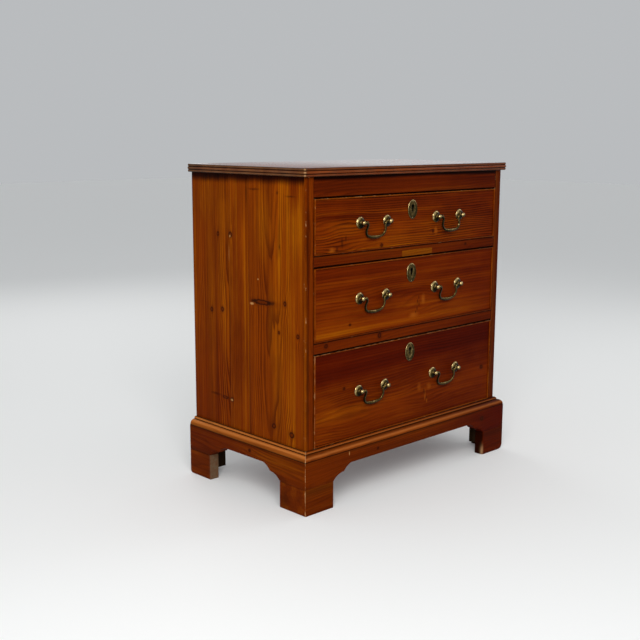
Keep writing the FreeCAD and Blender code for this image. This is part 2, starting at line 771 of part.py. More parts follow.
def drawer_side(name, height, floor):
    """Left side of a drawer, with tails at both ends and a groove for the bottom."""
    side_height = f"({height} - drawer_side_drop)"
    count = int(value(f"{side_height} / tail_pitch"))
    path = []
    for number in range(count):
        middle = f"{side_height} * {2 * number + 1} / {2 * count}"
        narrow = f"(tail_width / 2 - ({FRONT_INSIDE} - {TAIL_FRONT}) / tail_slope)"
        path += [
            (FRONT_INSIDE, f"{middle} - {narrow}"),
            (TAIL_FRONT, f"{middle} - tail_width / 2"),
            (TAIL_FRONT, f"{middle} + tail_width / 2"),
            (FRONT_INSIDE, f"{middle} + {narrow}"),
        ]
    path.append((FRONT_INSIDE, side_height))
    path.append((TAIL_BACK, side_height))
    for number in reversed(range(count)):
        middle = f"{side_height} * {2 * number + 1} / {2 * count}"
        narrow = "(tail_width / 2 - drawer_back_thickness / tail_slope)"
        path += [
            (TAIL_BACK, f"{middle} + {narrow}"),
            (DRAWER_BACK, f"{middle} + tail_width / 2"),
            (DRAWER_BACK, f"{middle} - tail_width / 2"),
            (TAIL_BACK, f"{middle} - {narrow}"),
        ]
    path.append((TAIL_BACK, "0"))
    path.append((FRONT_INSIDE, "0"))
    board = padded(name + "_board", "YZ_Plane", path, "drawer_side_thickness",
                   (f"-{DRAWER_HALF}", "0", floor))
    inner_face = f"-{DRAWER_HALF} + drawer_side_thickness"
    groove = block(name + "_groove",
                   (f"{inner_face} - groove_depth", FRONT_INSIDE, f"{floor} + drawer_bottom_inset"),
                   (inner_face, DRAWER_BACK, f"{floor} + drawer_bottom_inset + drawer_bottom_thickness"))
    return cut(name, board, [groove])


def cock_beads(name, height, floor):
    """Four mitred strips round a drawer front, each with a rounded nose standing proud."""
    wide = DRAWER_HALF
    inner = f"({DRAWER_HALF} - cock_bead_thickness)"
    top = height
    under_top = f"({height} - cock_bead_thickness)"
    outlines = {
        "top": [(f"-{inner}", under_top), (inner, under_top), (wide, top), (f"-{wide}", top)],
        "bottom": [(f"-{wide}", "0"), (wide, "0"), (inner, "cock_bead_thickness"),
                   (f"-{inner}", "cock_bead_thickness")],
        "left": [(f"-{wide}", "0"), (f"-{inner}", "cock_bead_thickness"), (f"-{inner}", under_top),
                 (f"-{wide}", top)],
        "right": [(wide, "0"), (wide, top), (inner, under_top), (inner, "cock_bead_thickness")],
    }
    strips = []
    for edge_name, path in outlines.items():
        strip = padded(f"{name}_{edge_name}", "XZ_Plane", path, "cock_bead_seat + cock_bead_proud",
                       ("0", BEAD_BACK, floor))
        doc.recompute()
        nose = value("-cock_bead_seat - cock_bead_proud")
        pad = strip.Tip
        long_edges = [
            f"Edge{number}" for number, edge in enumerate(pad.Shape.Edges, 1)
            if all(abs(corner.Y - nose) < 1e-6 for corner in edge.Vertexes)
            and edge.Length > value("2 * cock_bead_thickness")
        ]
        rounding = strip.newObject("PartDesign::Fillet", f"{name}_{edge_name}_nose")
        rounding.Base = (pad, long_edges)
        rounding.setExpression("Radius", bound("cock_bead_nose"))
        strips.append(strip)
    return strips


def keyhole(name, level, depth):
    """Round hole and slot under it, cut from in front of the drawer to a plane behind."""
    start = f"{FRONT} - escutcheon_thickness"
    round_level = f"{level} + keyhole_rise - keyhole_diameter / 2"
    return [
        bore(name + "_round", "keyhole_diameter", f"{depth} - ({start})", ("0", start, round_level)),
        block(name + "_slot", ("-keyhole_slot / 2", start, f"{level} + keyhole_rise - keyhole_height"),
              ("keyhole_slot / 2", depth, round_level)),
    ]


def oval(name, margin, start, length, level):
    """Upright oval plate, smaller than the escutcheon by a margin all round, standing on a plane."""
    ellipse = doc.addObject("Part::Ellipse", name + "_edge")
    ellipse.setExpression("MajorRadius", bound(f"escutcheon_height / 2 - ({margin})"))
    ellipse.setExpression("MinorRadius", bound(f"escutcheon_width / 2 - ({margin})"))
    ellipse.Placement.Rotation = FreeCAD.Rotation(FreeCAD.Vector(1, 1, 1), -120)
    place(ellipse, ("0", start, level))
    plate = doc.addObject("Part::Extrusion", name)
    plate.Base = ellipse
    plate.DirMode = "Custom"
    plate.Dir = (0, -1, 0)
    plate.setExpression("LengthFwd", bound(length))
    plate.Solid = True
    return plate


def drawer(name, height, floor):
    """All the fixed pieces of one drawer, its lock bolt and its two bails."""
    top = f"({floor} + {height})"
    lock_front = f"({FRONT_INSIDE} - lock_depth)"
    lock_low = f"({top} - lock_height)"
    key_level = f"({top} - escutcheon_drop)"
    handle_level = f"({floor} + {height} / 2 + handle_rise)"
    posts = [(f"{side} * handle_offset + ({end}) * handle_spacing / 2", FRONT, handle_level)
             for side in (-1, 1) for end in (-1, 1)]

    left = drawer_side(f"{name}_side_left", height, floor)
    right = mirrored(f"{name}_side_right", left)
    node(f"{name}_sides", group(f"{name}_sides", [left, right]))

    # Front board with seats for the beads, sockets for the tails, and room for the lock
    edge = DRAWER_HALF
    seat = "cock_bead_thickness"
    blank = block(f"{name}_front_blank", (f"-{edge}", FRONT, floor), (edge, FRONT_INSIDE, top))
    tools = [
        block(f"{name}_seat_low", (f"-{edge}", FRONT, floor), (edge, BEAD_BACK, f"{floor} + {seat}")),
        block(f"{name}_seat_top", (f"-{edge}", FRONT, f"{top} - {seat}"), (edge, BEAD_BACK, top)),
        block(f"{name}_seat_left", (f"-{edge}", FRONT, floor), (f"-{edge} + {seat}", BEAD_BACK, top)),
        block(f"{name}_seat_right", (f"{edge} - {seat}", FRONT, floor), (edge, BEAD_BACK, top)),
    ]
    inside_half = f"({edge} - drawer_side_thickness)"
    panel_half = f"({inside_half} + groove_depth - panel_clearance)"
    panel_low = f"({floor} + drawer_bottom_inset)"
    panel_top = f"({panel_low} + drawer_bottom_thickness)"
    tools.append(block(f"{name}_front_groove",
                       (f"-{inside_half}", f"{FRONT_INSIDE} - groove_depth", panel_low),
                       (inside_half, FRONT_INSIDE, panel_top)))
    tools.append(block(f"{name}_lock_recess", ("-lock_width / 2", lock_front, lock_low),
                       ("lock_width / 2", FRONT_INSIDE, top)))
    tools += keyhole(f"{name}_front_key", key_level, lock_front)
    tools += [bore(f"{name}_shank_hole_{number}", SHANK_HOLE, "drawer_front_thickness", at)
              for number, at in enumerate(posts, 1)]
    node(f"{name}_front", cut(f"{name}_front", blank, tools + [left, right]))

    # Back board, pinned between the tails, and the bottom slid in under it
    back_board = block(f"{name}_back_blank", (f"-{edge}", TAIL_BACK, panel_top),
                       (edge, DRAWER_BACK, f"{top} - drawer_back_drop"))
    node(f"{name}_back", cut(f"{name}_back", back_board, [left, right]))
    panel_front = f"{FRONT_INSIDE} - groove_depth + panel_clearance"
    panel_tongue = block(f"{name}_bottom_tongue",
                         (f"-{inside_half} + panel_clearance", panel_front, panel_low),
                         (f"{inside_half} - panel_clearance", FRONT_INSIDE, panel_top))
    panel_board = block(f"{name}_bottom_board", (f"-{panel_half}", FRONT_INSIDE, panel_low),
                        (panel_half, DRAWER_BACK, panel_top))
    node(f"{name}_bottom", fuse(f"{name}_bottom", [panel_tongue, panel_board]))

    node(f"{name}_cock_beads", group(f"{name}_cock_beads", cock_beads(f"{name}_bead", height, floor)))

    # Handle fittings that stay put, and the two bails
    node(f"{name}_roses", group(f"{name}_roses", copies(f"{name}_rose", rose, posts)))
    fittings = copies(f"{name}_post", post, posts) + copies(f"{name}_nut", nut, posts)
    node(f"{name}_posts", group(f"{name}_posts", fittings))

    # Escutcheon: an oval plate hollowed inside its rim
    plate = oval(f"{name}_escutcheon_plate", "0", FRONT, "escutcheon_thickness", key_level)
    hollow = oval(f"{name}_escutcheon_hollow", "escutcheon_rim",
                  f"{FRONT} - escutcheon_thickness + escutcheon_hollow", "escutcheon_thickness", key_level)
    plate_key = keyhole(f"{name}_plate_key", key_level, lock_front)
    node(f"{name}_escutcheon", cut(f"{name}_escutcheon", plate, [hollow] + plate_key))

    # Lock case let into the back of the front, hollow for the bolt and the key
    case = block(f"{name}_lock_blank", ("-lock_width / 2", lock_front, lock_low),
                 ("lock_width / 2", FRONT_INSIDE, top))
    bolt_low = f"({top} - bolt_clearance - bolt_length)"
    well_half = "(bolt_width / 2 + bolt_clearance)"
    well_front = f"{LOCK_MIDDLE} - bolt_thickness / 2 - bolt_clearance"
    well_back = f"{LOCK_MIDDLE} + bolt_thickness / 2 + bolt_clearance"
    well = block(f"{name}_bolt_well", (f"-{well_half}", well_front, f"{bolt_low} - bolt_clearance"),
                 (well_half, well_back, top))
    chamber = block(f"{name}_key_chamber",
                    ("-key_chamber_width / 2", well_front, f"{bolt_low} - key_chamber_height"),
                    ("key_chamber_width / 2", well_back, bolt_low))
    lock_key = keyhole(f"{name}_lock_key", key_level, LOCK_MIDDLE)
    node(f"{name}_lock_case", cut(f"{name}_lock_case", case, [well, chamber] + lock_key))
    node(f"{name}_lock_bolt", block(
        f"{name}_lock_bolt", ("-bolt_width / 2", f"{LOCK_MIDDLE} - bolt_thickness / 2", bolt_low),
        ("bolt_width / 2", f"{LOCK_MIDDLE} + bolt_thickness / 2", f"{top} - bolt_clearance")))
    return handle_level


# The bails lean in against the drawers, apart from the upper right one, which hangs straight
bail = bail_solid()
resting = math.degrees(math.asin(value("post_reach - grip_diameter / 2 - bail_gap") / -bail_path()[2].z))
for name, height, floor in (
    ("upper_drawer", "upper_drawer_height", f"({UPPER_FLOOR} + running_clearance)"),
    ("middle_drawer", "middle_drawer_height", f"({MIDDLE_FLOOR} + running_clearance)"),
    ("lower_drawer", "lower_drawer_height", f"({BASE_TOP} + running_clearance)"),
):
    level = drawer(name, height, floor)
    for side, sign in (("left", -1), ("right", 1)):
        hung = doc.addObject("Part::Feature", f"{name}_{side}_bail")
        hung.Shape = bail
        lean = 0 if (name, side) == ("upper_drawer", "right") else resting
        pivot = vector((f"{sign} * handle_offset", f"{FRONT} - post_reach", level))
        hung.Placement = FreeCAD.Placement(pivot, FreeCAD.Rotation(FreeCAD.Vector(1, 0, 0), lean))
        node(f"{name}_{side}_bail", hung)

doc.recompute()
broken = [piece.Name for piece in doc.Objects if {"Invalid", "Error"} & set(piece.State)]
shapes = {name: Part.getShape(piece) for name, piece in nodes.items()}
broken += [name for name, shape in shapes.items()
           if shape.isNull() or not shape.isValid() or not shape.Solids]
if broken:
    raise RuntimeError("failed: " + ", ".join(broken))
os.makedirs("parts", exist_ok=True)
for name, shape in shapes.items():
    shape.exportStep(f"parts/{name}.step")
print(len(shapes), "nodes;", sum(len(shape.Solids) for shape in shapes.values()), "solids;",
      f"bails rest at {resting:.2f} degrees")
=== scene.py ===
import math
from functools import partial

import bmesh
import bpy
import numpy as np
from mathutils import Matrix, Vector


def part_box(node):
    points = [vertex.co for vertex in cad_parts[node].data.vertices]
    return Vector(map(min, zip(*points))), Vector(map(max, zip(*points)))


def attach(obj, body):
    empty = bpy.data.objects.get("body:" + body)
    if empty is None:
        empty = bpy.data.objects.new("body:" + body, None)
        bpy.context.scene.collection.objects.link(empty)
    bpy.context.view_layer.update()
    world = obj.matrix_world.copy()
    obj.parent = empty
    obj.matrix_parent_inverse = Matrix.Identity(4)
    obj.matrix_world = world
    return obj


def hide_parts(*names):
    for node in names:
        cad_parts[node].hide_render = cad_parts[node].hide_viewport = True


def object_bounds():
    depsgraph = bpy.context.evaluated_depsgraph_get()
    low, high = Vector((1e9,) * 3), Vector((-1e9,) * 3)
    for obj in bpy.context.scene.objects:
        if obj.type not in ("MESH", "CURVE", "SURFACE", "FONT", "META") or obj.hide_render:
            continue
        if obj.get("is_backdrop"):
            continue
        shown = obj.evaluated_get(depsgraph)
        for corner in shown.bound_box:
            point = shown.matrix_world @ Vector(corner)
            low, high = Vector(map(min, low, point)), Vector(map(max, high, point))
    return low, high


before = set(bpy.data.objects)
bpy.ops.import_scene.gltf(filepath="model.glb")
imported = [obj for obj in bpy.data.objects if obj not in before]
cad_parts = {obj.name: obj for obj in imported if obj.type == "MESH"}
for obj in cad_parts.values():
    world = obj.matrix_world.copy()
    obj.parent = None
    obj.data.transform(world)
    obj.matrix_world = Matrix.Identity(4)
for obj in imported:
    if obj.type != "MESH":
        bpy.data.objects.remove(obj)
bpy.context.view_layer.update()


# Side boards
# Each side of the case is three pine boards glued edge to edge, planed by hand, stained and waxed.
# The grain stands upright, knots show, and the glue lines have opened into fine dark creases.
def linear(colour):
    """Linear red, green, blue and full alpha of an sRGB hex colour."""
    parts = [int(colour[start:start + 2], 16) / 255 for start in (1, 3, 5)]
    return [part / 12.92 if part <= 0.04045 else ((part + 0.055) / 1.055) ** 2.4 for part in parts] + [1.0]


def fill(node, sockets):
    """Link or set a node's sockets, given as a row from the first one on or as a dict by number or name."""
    for socket, source in sockets.items() if isinstance(sockets, dict) else enumerate(sockets):
        if isinstance(source, bpy.types.NodeSocket):
            node.id_data.links.new(source, node.inputs[socket])
        else:
            node.inputs[socket].default_value = source


def add_node(tree, kind, sockets=(), out=0, stops=(), **settings):
    """Add a node, its operation after its kind, with settings, stops and sockets, and give an output."""
    kind, _, operation = kind.partition(" ")
    node = tree.nodes.new("ShaderNode" + kind)
    if operation:
        node.operation = operation
    for setting, choice in settings.items():
        setattr(node, setting, choice)
    for number, (position, colour) in enumerate(stops):
        ramp = node.color_ramp.elements
        stop = ramp[number] if number < 2 else ramp.new(position)
        stop.position = position
        stop.color = linear(colour) if isinstance(colour, str) else (colour, colour, colour, 1)
    fill(node, sockets)
    return node.outputs[out]


def blank(name):
    """A new material, its shader, and the function that adds a node to it."""
    material = bpy.data.materials.new(name)
    material.use_nodes = True
    tree = material.node_tree
    return material, tree.nodes["Principled BSDF"], partial(add_node, tree)


# Stain that lies thin or thick multiplies the wood's colour, and these marks and wear cover it
THINNED, THICK = (1.3, 1.75, 1.6, 1.0), (0.6, 0.42, 0.4, 1.0)
FLAME, SMEAR, SCAR, RUBBED_BARE = linear("#9C5010"), linear("#2C0D02"), linear("#C08A50"), linear("#B88A5C")
# How far in millimetres rings wander and jitter, and how ragged marks and fades are, in shares of their size
WANDER, JITTER, RAGGED = 26, 1.6, 0.9


def pine(name, grain, face, heart, tones, ring=3.2, lean=0.02, seed=0.0, knots=(), swirls=(), scars=(),
         smears=(), flames=(), glows=(), shades=(), fades=(), worn=None, lines=0.5, streaks=1.0, fine=0.45,
         band=34, boards=None, unstained=None, gloss=0.4, wax=0.02):
    """Stained and waxed pine, as a board cut from a log: warm bands, dark ring edges and a low sheen.

    Lengths are millimetres. The log's heart runs along the grain axis at a place (across, depth) and leans by
    a share of the length. Year rings lie a ring apart round it, dark at their outer edge, so a face shows
    arches and straight lines and an end shows curves. A knot (along, across, radius, spread) pushes the rings
    aside and is dark itself, a swirl only pushes them, a scar is a pale mark, a smear a dark one, a flame an
    orange one, and glows and shades are wide ones where the stain is thin or thick. A fade (axis, low, high,
    tint, share) tints the board along an axis, and worn (low corner, high corner, least width, width, share)
    rubs the stain off the arrises of that box. Lines, streaks and fine set how strongly ring edges, stain and
    its narrow streaks show, band how wide the stain's bands are, and boards (first edge, pitch) gives each
    board of a boarded piece its own figure. Unstained (axis, low, high, tones) is where the stain ends along
    an axis. The attributes darken hollows with grime and painted shade, leave raw end grain bare, lay a
    painted highlight over rubbed crests, and show fresh chips and breaks.
    """
    material, shader, add = blank(name)
    mm = add("VectorMath MULTIPLY", (add("TexCoord", out="Object"), (1000, 1000, 1000)))
    axes = dict(zip("XYZ", add("SeparateXYZ", (mm,)).node.outputs))
    width_axis = ({"X", "Y", "Z"} - {grain, face}).pop()
    log = add("CombineXYZ", (axes[width_axis], axes[face], axes[grain]))
    across, own = axes[width_axis], log
    if boards:
        first, pitch = boards
        number = add("Math MULTIPLY_ADD", (across, 1 / pitch, -first / pitch))
        number = add("Math FLOOR", (number,))
        across = add("Math MULTIPLY_ADD", (number, -pitch, across))
        own = add("VectorMath MULTIPLY_ADD", (number, (31, 17, 400), log))

    # Noise stretched along the grain: name, width and length of its patches in millimetres, detail
    field = {}
    for kind, width, length, detail in (("wander", 70, 420, 2), ("band", band, 900, 2), ("streak", 5, 600, 3),
                                        ("fibre", 0.9, 45, 3), ("stain", 80, 190, 3), ("ripple", 7, 40, 2)):
        per_patch = (1 / width, 1 / width, 1 / length)
        stretched = add("VectorMath MULTIPLY_ADD", (own, per_patch, (seed, 2 * seed, 3 * seed)))
        field[kind] = add("TexNoise", {
            "Vector": stretched, "Scale": 1.0, "Detail": detail, "Roughness": 0.55})
    wander, ripple = (field[kind].node.outputs["Color"] for kind in ("wander", "ripple"))

    # Knots and swirls push the lines apart across the grain
    for along_at, across_at, size, spread in (*knots, *swirls):
        reach = (1 / (2.2 * size * spread), 0, 1 / (5 * size))
        place = (-across_at * reach[0], 0, -along_at * reach[2])
        offset = add("VectorMath MULTIPLY_ADD", (log, reach, place))
        squared = add("VectorMath DOT_PRODUCT", (offset, offset), "Value")
        near = add("Math POWER", (math.exp(-1), squared))
        push = add("Math MULTIPLY", (near, add("SeparateXYZ", (offset,))))
        across = add("Math MULTIPLY_ADD", (push, -2.0 * size, across))

    # How far off the nearest mark of each kind is, in its own radii, with ragged outlines
    away = {}
    for kind, marks in (("knot", knots), ("scar", scars), ("smear", smears), ("flame", flames),
                        ("glow", glows), ("shade", shades)):
        for along_at, across_at, size, spread in marks:
            reach = (1 / (size * spread), 0, 1 / (1.15 * size))
            place = (-across_at * reach[0] - RAGGED / 2, 0, -along_at * reach[2] - RAGGED / 2)
            spoke = add("VectorMath MULTIPLY_ADD", (log, reach, place))
            spoke = add("VectorMath MULTIPLY_ADD", (ripple, (RAGGED, 0, RAGGED), spoke))
            far = add("VectorMath LENGTH", (spoke,), "Value")
            away[kind] = add("Math MINIMUM", (away[kind], far)) if kind in away else far

    # Year rings: how far from the heart, in rings, and the part of a ring that has grown
    depth = add("Math MULTIPLY_ADD", (axes[grain], lean, axes[face]))
    bent = add("CombineXYZ", (across, depth))
    for noise, reach in ((wander, WANDER), (ripple, JITTER)):
        bent = add("VectorMath MULTIPLY_ADD", (noise, (reach, reach, 0), bent))
    shift = (WANDER + JITTER) / 2
    radius = add("VectorMath DISTANCE", (bent, (heart[0] + shift, heart[1] + shift, 0)), "Value")
    grown = add("Math FRACT", (add("Math MULTIPLY", (radius, 1 / ring)),))
    late = add("ValToRGB", (grown,),
               stops=((0.0, 0.1), (1.0, 0.1), (0.35, 0.03), (0.72, 0.8), (0.9, 1.0)))
    strength = add("MapRange", (field["stain"], 0.35, 0.65, 0.3 * lines, 1.3 * lines))
    line = add("Math MULTIPLY", (late, strength))

    # Colour: bands and streaks of stain with dark ring edges, stained and, where asked, bare
    mixed = add("Math MULTIPLY_ADD", (field["streak"], fine, field["band"]))
    even = 0.5 + 0.5 * fine
    mixed = add("MapRange", (mixed, even - 0.24 / streaks, even + 0.24 / streaks))
    grounds = []
    for dark, middle, light, ring_edge in (tones, *(unstained or ())[3:]):
        ground = add("ValToRGB", (mixed,), stops=((0.0, dark), (1.0, light), (0.5, middle)))
        grounds.append(add("Mix", {0: line, 6: ground, 7: linear(ring_edge)}, 2, data_type="RGBA"))

    # Coats over it, each an amount, a colour and how it is laid on: fine fibres first, then stain marks
    fibre = add("ValToRGB", (field["fibre"],), stops=((0.3, 0.8), (0.7, 1.0), (0.5, 0.95)))
    coats = [(1.0, fibre, "MULTIPLY")]
    for kind, full, most, stain, laid in (
            ("glow", 0.0, 1.0, THINNED, "MULTIPLY"), ("shade", 0.0, 1.0, THICK, "MULTIPLY"),
            ("flame", 0.1, 0.6, FLAME, "MIX"), ("smear", 0.1, 0.6, SMEAR, "MIX")):
        if kind in away:
            amount = add("MapRange", (away[kind], 1.5, full, 0, most), interpolation_type="SMOOTHSTEP")
            coats.append((amount, stain, laid))
    for axis, start, end, tint, most in fades:
        ragged = RAGGED * (end - start)
        place = add("Math MULTIPLY_ADD", (field["stain"], ragged, axes[axis]))
        amount = add("MapRange", (place, start + ragged / 2, end + ragged / 2, 0, most),
                     interpolation_type="SMOOTHSTEP")
        coats.append((amount, linear(tint), "MULTIPLY"))
    if unstained:
        axis, start, end, _ = unstained
        coats.append((add("MapRange", (axes[axis], start, end)), grounds[1], "MIX"))

    # Then knots with a warm halo and a dark rim, pale scars, worn arrises, grime and painted shade, bare
    # ends, a painted highlight and chips
    halo = rim = linear(tones[3])
    if "knot" in away:
        rim = add("ValToRGB", (away["knot"],), stops=(
            (0.0, tones[3]), (0.95, "#1C0B04"), (0.4, tones[3]), (0.7, "#260E05")))
    for kind, edge, full, most, stain in (("knot", 2.4, 0.9, 0.45, halo), ("knot", 1.25, 0.8, 0.9, rim),
                                          ("scar", 1.3, 0.4, 0.8, SCAR)):
        if kind in away:
            amount = add("MapRange", (away[kind], edge, full, 0, most), interpolation_type="SMOOTHSTEP")
            coats.append((amount, stain, "MIX"))
    if worn:
        low, high, least, width, most = worn
        middle, half = (np.array(low) + high) / 2, (np.array(high) - low) / 2
        inward = add("VectorMath SUBTRACT", (mm, tuple(middle)))
        inward = add("VectorMath SUBTRACT", (tuple(half), add("VectorMath ABSOLUTE", (inward,))))
        x, y, z = add("SeparateXYZ", (inward,)).node.outputs
        lesser = add("Math MINIMUM", (x, y))
        greater = add("Math MINIMUM", (add("Math MAXIMUM", (x, y)), z))
        edge = add("Math MAXIMUM", (lesser, greater))
        scuff = add("TexNoise", {"Vector": mm, "Scale": 1 / 16, "Detail": 5, "Roughness": 0.6})
        scuff = add("MapRange", (scuff, 0.4, 0.75, least, width))
        bare = add("Math SUBTRACT", (scuff, edge))
        coats.append((add("MapRange", (bare, -0.4, 0.4, 0, most)), RUBBED_BARE, "MIX"))
    mottle = add("MapRange", (field["ripple"], 0.3, 0.7, 0.5, 0.95))
    # Grime and painted shade, raw end grain, a painted highlight over rubbed crests, and chips
    for kind, tone, most in (("grime", "#140602", 0.9), ("raw", "#6E5C46", mottle),
                             ("rubbed", "#CC7C3C", 0.9), ("chip", "#BC9468", 0.9)):
        amount = add("Attribute", out="Fac", attribute_name=kind)
        coats.append((add("Math MULTIPLY", (amount, most)), linear(tone), "MIX"))
    colour = grounds[0]
    for amount, coat, laid in coats:
        colour = add("Mix", {0: amount, 6: colour, 7: coat}, 2, data_type="RGBA", blend_type=laid)

    # Waxed surface: an amber sheen that fibres break a little, and hard ring edges that stand up
    shine = add("MapRange", (field["fibre"], 0.3, 0.7, gloss - 0.07, gloss + 0.1))
    height = add("Math MULTIPLY_ADD", (field["fibre"], 0.6, line))
    bump = add("Bump", {"Height": height, "Strength": 0.4, "Distance": 0.00025})
    fill(shader, {"Base Color": colour, "Roughness": shine, "Normal": bump, "Specular IOR Level": wax,
                  "Specular Tint": linear("#FFA050")})
    return material


def grid_faces(rows, columns, around=False):
    """Quads between neighbours in a grid of points counted row by row, closed round the columns if asked."""
    row = np.arange(rows - 1)[:, None] * columns
    column = np.arange(columns if around else columns - 1)[None, :]
    after = (column + 1) % columns
    quads = (row + column, row + columns + column, row + columns + after, row + after)
    return np.stack(quads, -1).reshape(-1, 4)


def spaced(low, high, arris, step, marks=()):
    """Places along a board: by equal angles over each rounded arris, a step apart between, and at marks."""
    turn = arris * (1 - np.tan(np.linspace(np.pi / 4, 0, 4)))
    middle = np.linspace(low + arris, high - arris, max(2, int((high - low) / step)))
    return np.unique(np.concatenate([low + turn[:-1], middle, high - turn[:-1], np.array(marks, float)]))


def board(corner, opposite, arris, step, marks=((), (), ())):
    """Six-sided board with rounded arrises, in millimetres, one size for all or one for each axis.

    Each face is a grid on the box between two corners. A point is drawn in to the nearest point of the box
    shrunk by the arris, then pushed out again by that arris, so flats stay flat and the edges turn round.
    """
    low, high = np.minimum(corner, opposite) * 1.0, np.maximum(corner, opposite) * 1.0
    arris = np.broadcast_to(np.array(arris, float), 3)
    places = [spaced(low[k], high[k], arris[k], step[k], marks[k]) for k in range(3)]
    points, faces, count = [], [], 0
    for k in range(3):
        i, j = (k + 1) % 3, (k + 2) % 3
        u, v = np.meshgrid(places[i], places[j], indexing="ij")
        for end, order in ((high, 1), (low, -1)):
            grid = np.empty(u.shape + (3,))
            grid[..., i], grid[..., j], grid[..., k] = u, v, end[k]
            points.append(grid.reshape(-1, 3))
            faces.append(grid_faces(*u.shape)[:, ::order] + count)
            count += u.size
    points, faces = np.concatenate(points), np.concatenate(faces)
    core = np.clip(points, low + arris, high - arris)
    out = (points - core) / arris
    return core + arris * out / np.linalg.norm(out, axis=1, keepdims=True), faces


def piece(name, points, faces, material, node=None, body="carcase", slot="waxed_pine", **marks):
    """Make a piece's mesh from points in millimetres, weld it, and hang it on its body.

    It may stand for a CAD node. Each mark is an attribute from 0 to 1 at each point, such as rub or grime.
    """
    mesh = bpy.data.meshes.new(name)
    mesh.from_pydata((np.asarray(points) * 0.001).tolist(), [], [list(map(int, face)) for face in faces])
    for mark, amount in marks.items():
        mesh.attributes.new(mark, "FLOAT", "POINT").data.foreach_set("value", np.asarray(amount, np.float32))
    welded = bmesh.new()
    welded.from_mesh(mesh)
    bmesh.ops.remove_doubles(welded, verts=welded.verts, dist=2e-6)
    bmesh.ops.dissolve_degenerate(welded, edges=welded.edges, dist=1e-6)
    bmesh.ops.recalc_face_normals(welded, faces=welded.faces)
    welded.to_mesh(mesh)
    welded.free()
    mesh.materials.append(material)
    mesh.shade_smooth()
    mesh.set_sharp_from_angle(angle=math.radians(40))
    shape = bpy.data.objects.new(name, mesh)
    bpy.context.scene.collection.objects.link(shape)
    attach(shape, body)
    if node:
        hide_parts(node)


def corners(node):
    """Lowest and highest corner of a CAD node, in millimetres."""
    low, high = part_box(node)
    return np.array(low) * 1000, np.array(high) * 1000


CASE_HALF = 343.5
HONEY = ("#6F2C01", "#8C3D01", "#A85B02", "#591F01")
SIDE_JOINTS = (3, 73)
CRACK = 0.35
# The right side's knots are the left's, turned end for end about half the first value and moved forward
KNOT_TURN, KNOT_MOVE = 860, 9
side_boards = {
    # heart (depth, width), ring, share of the lower fade, and marks (height, depth, radius, spread)
    "front": (-75, 273, 4.0, 0.3, dict(
        knots=((464, -121, 5, 1), (397, -101, 3.5, 1), (397, -163, 4.5, 1), (178, -83, 5, 1.2),
               (170, -143, 6, 1.3), (459, -44, 5, 7)),
        scars=((510, -31, 2, 1), (452, -9, 2.6, 2.8)),
        smears=((711, -18, 2.5, 8), (706, -97, 4, 1.1), (589, -104, 5, 0.6), (462, -80, 3, 3),
                (700, -140, 2, 9)),
        glows=((560, -103, 75, 0.11), (310, -100, 190, 0.12), (640, -50, 70, 0.4), (405, -76, 90, 0.12),
               (635, -160, 70, 0.3)),
        shades=((715, -150, 40, 0.5),))),
    "middle": (150, 263, 4.2, 0.8, dict(
        knots=((604, 66, 5.5, 1.2), (211, 67, 4.5, 1.4)),
        scars=((600, 68, 2.6, 1.0), (210, 68, 2.6, 2.0), (562, 72, 18, 0.035)),
        smears=((430, 71, 40, 0.05), (702, 8, 25, 0.12)),
        shades=((340, 52, 260, 0.12),))),
    "rear": (60, 268, 4.0, 0.8, dict(
        knots=((602, 112, 4.5, 1), (420, 139, 5, 1), (425, 99, 5, 1), (212, 92, 3, 4)),
        smears=((215, 128, 3, 7), (733, 150, 9, 2.4), (735, 112, 10, 1.2)),
        glows=((655, 98, 90, 0.28), (400, 141, 300, 0.06), (690, 150, 60, 0.6), (540, 100, 170, 0.1)))),
}
rebate_low, rebate_high = corners("back_boards")
rebate_y, lip_width = rebate_low[1], CASE_HALF - rebate_high[0]
for side, sign in (("left", -1), ("right", 1)):
    low, high = corners(f"{side}_side")
    cuts = (low[1], *SIDE_JOINTS, high[1])
    for number, (place, (depth, width, ring, fade, marks)) in enumerate(side_boards.items()):
        from_y, to_y = cuts[number:number + 2]
        if sign > 0:
            marks = {"knots": [(KNOT_TURN - along, across - KNOT_MOVE, size, spread)
                               for along, across, size, spread in marks["knots"]]}
        # Painted shade: darker just under the top's overhang, where grime lies too, and darker towards the
        # rear
        grown = pine(f"waxed_pine_{side}_{place}_board", "Z", "X", (depth, sign * width), HONEY, ring=ring,
                     seed=from_y * 0.37 + sign * 5, lines=0.85, fine=0.8, band=70, **marks,
                     fades=(("Z", 718, 737, "#4A2C18", 0.95), ("Y", 40, 150, "#DCC0A8", 0.4),
                            ("Z", 470, 260, "#E0C8B0", fade)))
        edge_cuts = (rebate_y, rebate_y + 0.01) if place == "rear" else ()
        points, faces = board((low[0], from_y, low[2]), (high[0], to_y, high[2]), 0.6, (22, 8, 40),
                              ((), edge_cuts, ()))
        lip = points[:, 1] > rebate_y + 0.005
        inward = CASE_HALF - np.abs(points[lip, 0])
        points[lip, 0] = sign * (CASE_HALF - inward * lip_width / (high[0] - low[0]))
        off_joint = np.minimum(np.abs(points[:, 1] - from_y), np.abs(points[:, 1] - to_y))
        piece(f"{side}_side_{place}_board", points, faces, grown,
              f"{side}_side" if place == "front" else None, grime=0.9 * np.exp(-off_joint / CRACK))


# Stiles and rails
# Thin pine uprights face the front edges of the sides, and solid rails run between the drawers.
# They are stained darker than the sides, and handling has worn the outer corners pale.
def clad(node, material):
    """Put a material on the slots of a CAD piece that keeps its own shape."""
    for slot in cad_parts[node].material_slots:
        slot.material = material


